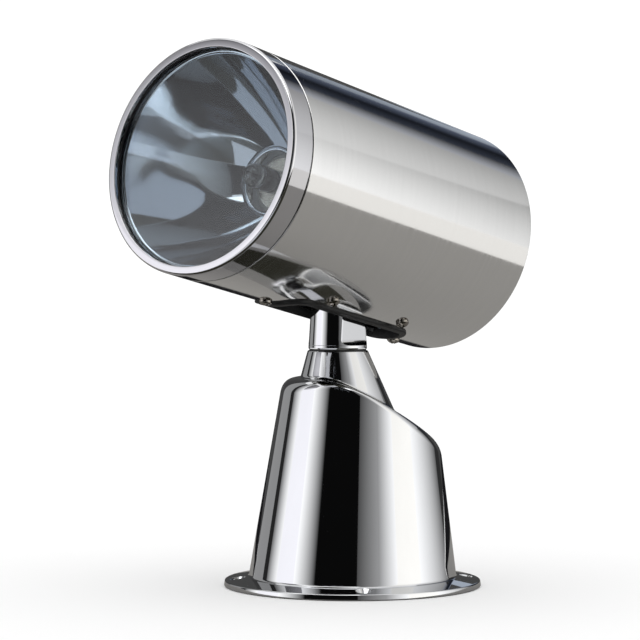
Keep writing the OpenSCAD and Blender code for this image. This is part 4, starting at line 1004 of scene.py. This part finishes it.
# Finishes of the CAD nodes that stay as they are: name, colour, metal, pattern width in
# millimetres, roughness from and to, bump in millimetres.
CARRIED = {
    "rubber": ("EPDM rubber, moulded plain", "1A1A1B", 0.0, 0.9, (0.5, 0.62), 0.02),
    "shield_plastic": ("polypropylene sheet, extruded black", "141516", 0.0, 1.4, (0.36, 0.48),
                       0.01),
    "aluminium_sheet": ("aluminium sheet, milled", "C2C4C6", 1.0, 0.8, (0.26, 0.38), 0.003),
    "screw_steel": ("stainless screws, tumbled plain", "CFCDC8", 1.0, 0.7, (0.16, 0.28), 0.004),
    "bronze": ("sintered bronze, sized", "A9763E", 1.0, 0.5, (0.3, 0.44), 0.006),
    "gear_brass": ("brass, hobbed", "C7A45A", 1.0, 0.6, (0.2, 0.32), 0.003),
    "spring_steel": ("spring steel, oil blackened", "3B3A3A", 1.0, 0.8, (0.3, 0.42), 0.003),
    "pin_steel": ("stainless bar, centreless ground", "C4C5C7", 1.0, 0.5, (0.1, 0.18), 0.001),
    "gearbox_alloy": ("zinc alloy, die cast", "8C8F93", 1.0, 1.2, (0.36, 0.52), 0.015),
    "motor_steel": ("steel can, zinc plated", "AEB0B2", 1.0, 1.6, (0.2, 0.32), 0.003),
    "bulb_cap": ("nickel-plated brass, drawn", "BDB7AB", 1.0, 0.9, (0.18, 0.3), 0.003),
    "ceramic": ("steatite, fired", "F4F2EC", 0.0, 0.7, (0.4, 0.55), 0.01),
}
CARRIED_TONE = (0.9, 1.08)


class SEARCHLIGHT_OT_carried(bpy.types.Operator):
    """Finishes for the CAD nodes that keep their shape, by their slot in the record"""
    bl_idname = "searchlight.carried"
    bl_label = "Drive and inner pieces"

    def execute(self, context):
        slots = {part["node"]: part["material_slot"] for part in frame["record"]["subparts"]}
        for name, node in frame["nodes"].items():
            if node.hide_render:
                continue
            title, code, metal, size, roughness, bump = CARRIED[slots[name]]
            finish = patterned(title, from_hex(code), size, roughness, bump, CARRIED_TONE,
                               Metallic=metal)
            for holder in node.material_slots:
                holder.material = finish
        return {"FINISHED"}


# ---- stage


class SEARCHLIGHT_OT_stage(bpy.types.Operator):
    """Studio: a pale floor, white light all round, sheets and cards to reflect, and the camera"""
    bl_idname = "searchlight.stage"
    bl_label = "Studio"

    VIEW_TURN = math.radians(-95)       # where the camera stands, seen from the searchlight
    CAMERA_AT = (-0.17807, -1.80333, 0.22207)
    CAMERA_TURN = (math.radians(88.2), 0, math.radians(-5))
    LENS, SENSOR = 163.88, 36.0         # millimetres
    WORLD_LIGHT = 1.1
    FLOOR_SIZE, FLOOR_Z = 12, -0.0003   # metres
    CARD_R, CARD_Z, CARD_STEPS = 2.4, 0.2, 24
    # Level sheets: name, material, colour, near left and far right corner seen from the camera
    # and height in metres
    LEVELS = (
        ("grey_table", "table laminate, grey", "908E8B", ((-1.0, -0.09), (0.74, 1.2)), -0.0001),
        ("pale_paper_right", "backdrop paper, pale", "EBE9E6",
         ((0.74, -0.09), (2.3, 1.2)), -0.0002),
        ("dark_floor_front", "studio carpet, charcoal", "37362F",
         ((-2.3, -2.3), (2.3, -0.09)), -0.0002),
        ("dark_floor_rear", "studio carpet, black", "1A1A1C",
         ((-1.3, 0.45), (1.3, 2.3)), -0.00005),
        ("grey_floor_front_left", "backdrop paper, grey", "CCCDD2",
         ((-1.7, -2.3), (-0.12, -0.38)), -0.00005),
    )
    # Cards round the searchlight. Turns are to the right of the camera and heights are angles
    # above the searchlight's middle, in degrees: turn from and to, height from and to,
    # brightness from and to, share of it that is left at the top, colour. A card with one
    # brightness is even and white.
    CARDS = {
        "black_flag_front": (-43, 4, -6, 46, 0.004),
        "grey_card_front_high": (-36, -10, 15, 33, 0.25, 0.5, 1.0, "EEF4FF"),
        "white_softbox_top_left": (-90, 10, 50, 70, 2.4),
        "grey_sweep_right": (4, 28, -6, 60, 0.10, 0.45, 0.6),
        "pale_sweep_right": (28, 50, -6, 60, 0.42, 1.5, 0.45),
        "white_panel_right": (50, 80, -6, 60, 1.5, 1.55, 0.40, "FFFDF8"),
        "grey_sweep_rear_right": (80, 132, -6, 17, 1.55, 0.15, 0.84),
        "grey_sweep_rear_high": (80, 136, 17, 50, 1.10, 0.38, 1.05),
        "black_flag_rear_right": (132, 146, -6, 17, 0.035),
        "dusk_sweep_rear_right": (136, 146, 17, 50, 0.44, 0.05, 1.0, "F0F4FF"),
        "navy_bar_rear_right": (146, 155, 8, 50, 0.05, 0.012, 1.0, "C8D8FF"),
        "navy_bar_rear": (155, 164, 8, 50, 0.012, 0.14, 1.0, "C8D8FF"),
        "blue_card_rear": (164, 170.5, 8, 27, 0.45, 0.56, 0.6, "DCE8FA"),
        "blue_card_rear_low": (170.5, 175, 8, 12, 0.56, 0.62, 1.0, "DCE8FA"),
        "dark_card_rear_right": (170.5, 175, 12, 27, 0.07),
        "dark_card_rear": (175, 192, 8, 27, 0.07),
        "dark_card_rear_left": (192, 216, 8, 40, 0.06),
        "dark_skirting_rear": (146, 216, -6, 8, 0.07),
        "grey_card_rear_left": (-144, -118, -6, 40, 0.36),
        "black_stand_rear_left": (-118, -110, -6, 40, 0.025),
        "grey_sweep_left": (-110, -93, -6, 50, 0.2, 1.5, 0.3),
        "white_panel_left": (-93, -69, -6, 16, 1.4, 1.45, 0.95, "FBFAFF"),
        "pale_sweep_left_high": (-93, -69, 16, 26, 0.5, 1.9, 0.2, "FBFAFF"),
        "grey_card_left_top": (-93, -69, 26, 50, 0.15, 0.4, 0.8, "FBFAFF"),
        "grey_sweep_front_left": (-69, -43, -6, 60, 1.55, 0.03, 0.75),
    }

    def card(self, name, turn_from, turn_to, low, high, bright_from, bright_to=None, at_top=1.0,
             code="FFFFFF"):
        low, high = (self.CARD_Z + self.CARD_R * math.tan(math.radians(h)) for h in (low, high))
        bm = bmesh.new()
        ends = [bm.verts.new((self.CARD_R, 0, z)) for z in (low, high)]
        edge = bm.edges.new(ends)
        start = self.VIEW_TURN + math.radians(turn_from)
        bmesh.ops.rotate(bm, cent=(0, 0, 0), matrix=Matrix.Rotation(start, 3, "Z"), verts=ends)
        bmesh.ops.spin(bm, geom=ends + [edge], cent=(0, 0, 0), axis=(0, 0, 1), dvec=(0, 0, 0),
                       angle=math.radians(turn_to - turn_from), steps=self.CARD_STEPS,
                       use_merge=False, use_duplicate=False)
        finish = bpy.data.materials.new(name.replace("_", " "))
        finish.use_nodes = True
        tree = finish.node_tree
        tree.nodes.clear()
        coords = add_node(tree, "ShaderNodeTexCoord")
        middle = self.VIEW_TURN + math.radians(turn_from + turn_to) / 2
        turned = add_node(tree, "ShaderNodeMapping", {"Rotation": (0, 0, -middle)},
                          {"Vector": coords.outputs["Object"]})
        around = add_node(tree, "ShaderNodeTexGradient", None, {"Vector": turned.outputs["Vector"]},
                          gradient_type="RADIAL")
        half = (turn_to - turn_from) / 720      # the gradient runs once round in 360 degrees
        fade = add_node(tree, "ShaderNodeMapRange",
                        {"From Min": 0.5 - half, "From Max": 0.5 + half, "To Min": bright_from,
                         "To Max": bright_from if bright_to is None else bright_to},
                        {"Value": around.outputs["Fac"]})
        parts = add_node(tree, "ShaderNodeSeparateXYZ", None, {"Vector": coords.outputs["Object"]})
        rise = add_node(tree, "ShaderNodeMapRange",
                        {"From Min": max(low, 0), "From Max": high, "To Min": 1.0,
                         "To Max": at_top}, {"Value": parts.outputs["Z"]})
        level = add_node(tree, "ShaderNodeMath", None,
                         {0: fade.outputs["Result"], 1: rise.outputs["Result"]},
                         operation="MULTIPLY")
        glow = add_node(tree, "ShaderNodeEmission", {"Color": from_hex(code)},
                        {"Strength": level.outputs["Value"]})
        add_node(tree, "ShaderNodeOutputMaterial", None, {"Surface": glow.outputs["Emission"]})
        self.stage_mesh(bm, name, finish)

    def stage_mesh(self, bm, name, finish, reflected_only=True):
        mesh = bpy.data.meshes.new(name)
        bm.to_mesh(mesh)
        bm.free()
        mesh.materials.append(finish)
        made = bpy.data.objects.new(name, mesh)
        bpy.context.scene.collection.objects.link(made)
        if reflected_only:
            made.visible_camera = made.visible_diffuse = made.visible_shadow = False

    def floor(self):
        # Painted floor, matt and pale.
        bm = bmesh.new()
        bmesh.ops.create_grid(bm, x_segments=1, y_segments=1, size=self.FLOOR_SIZE)
        bmesh.ops.translate(bm, verts=bm.verts[:], vec=(0, 0, self.FLOOR_Z))
        paint = patterned("floor paint, rolled matt", finishes().floor, 3.0, (0.8, 0.95), 0,
                          Specular_IOR_Level=0.0)
        # Seen from below, the floor is clear, so that the underside can be looked at.
        tree = paint.node_tree
        side = add_node(tree, "ShaderNodeNewGeometry")
        clear = add_node(tree, "ShaderNodeBsdfTransparent")
        both = add_node(tree, "ShaderNodeMixShader", None,
                        {0: side.outputs["Backfacing"], 2: clear.outputs["BSDF"],
                         1: tree.nodes["Principled BSDF"].outputs["BSDF"]})
        tree.links.new(both.outputs["Shader"], tree.nodes["Material Output"].inputs["Surface"])
        self.stage_mesh(bm, "floor", paint, reflected_only=False)

    def sheet(self, name, title, code, corners, z):
        (left, near), (right, far) = corners
        bm = bmesh.new()
        verts = bmesh.ops.create_grid(bm, x_segments=1, y_segments=1, size=0.5)["verts"]
        bmesh.ops.scale(bm, vec=(right - left, far - near, 1), verts=verts)
        bmesh.ops.translate(bm, vec=((left + right) / 2, (near + far) / 2, z), verts=verts)
        turn = Matrix.Rotation(self.VIEW_TURN + math.pi / 2, 3, "Z")
        bmesh.ops.rotate(bm, cent=(0, 0, 0), matrix=turn, verts=verts)
        self.stage_mesh(bm, name, patterned(title, from_hex(code), 4.0, (0.6, 0.8), 0,
                                            Specular_IOR_Level=0.0))

    def execute(self, context):
        scene = context.scene
        scene.view_settings.view_transform = "Standard"
        world = bpy.data.worlds.new("white studio")
        world.use_nodes = True
        light = world.node_tree.nodes["Background"]
        light.inputs["Color"].default_value = (1, 1, 1, 1)
        light.inputs["Strength"].default_value = self.WORLD_LIGHT
        scene.world = world
        self.floor()
        for level in self.LEVELS:
            self.sheet(*level)
        for name, card in self.CARDS.items():
            self.card(name, *card)
        eye = bpy.data.cameras.new("camera")
        eye.lens, eye.sensor_width = self.LENS, self.SENSOR
        camera = bpy.data.objects.new("camera", eye)
        camera.location, camera.rotation_euler = self.CAMERA_AT, self.CAMERA_TURN
        scene.collection.objects.link(camera)
        scene.camera = camera
        return {"FINISHED"}


# ---- panel and run


MAKERS = (SEARCHLIGHT_OT_stage, SEARCHLIGHT_OT_pedestal, SEARCHLIGHT_OT_post, SEARCHLIGHT_OT_barrel,
          SEARCHLIGHT_OT_front, SEARCHLIGHT_OT_bulb, SEARCHLIGHT_OT_edging, SEARCHLIGHT_OT_screws,
          SEARCHLIGHT_OT_carried)


class SEARCHLIGHT_PT_sidebar(bpy.types.Panel):
    """Sizes, finishes and makers of the searchlight"""
    bl_idname = "SEARCHLIGHT_PT_sidebar"
    bl_label = "Searchlight"
    bl_space_type = "VIEW_3D"
    bl_region_type = "UI"
    bl_category = "Searchlight"

    def draw(self, context):
        for group in (pedestal_sizes(), lamp_sizes(), finishes()):
            box = self.layout.box()
            for name in group.__annotations__:
                box.prop(group, name)
        for maker in MAKERS:
            self.layout.operator(maker.bl_idname)


GROUPS = {"searchlight_pedestal": PedestalSizes, "searchlight_lamp": LampSizes,
          "searchlight_finishes": Finishes}
CLASSES = (*GROUPS.values(), *MAKERS, SEARCHLIGHT_PT_sidebar)


def register():
    for cls in CLASSES:
        bpy.utils.register_class(cls)
    for name, group in GROUPS.items():
        setattr(bpy.types.Scene, name, PointerProperty(type=group))


def unregister():
    for name in GROUPS:
        delattr(bpy.types.Scene, name)
    for cls in reversed(CLASSES):
        bpy.utils.unregister_class(cls)


def main():
    register()
    for maker in MAKERS:
        family, name = maker.bl_idname.split(".")
        getattr(getattr(bpy.ops, family), name)()


if __name__ == "__main__":
    main()
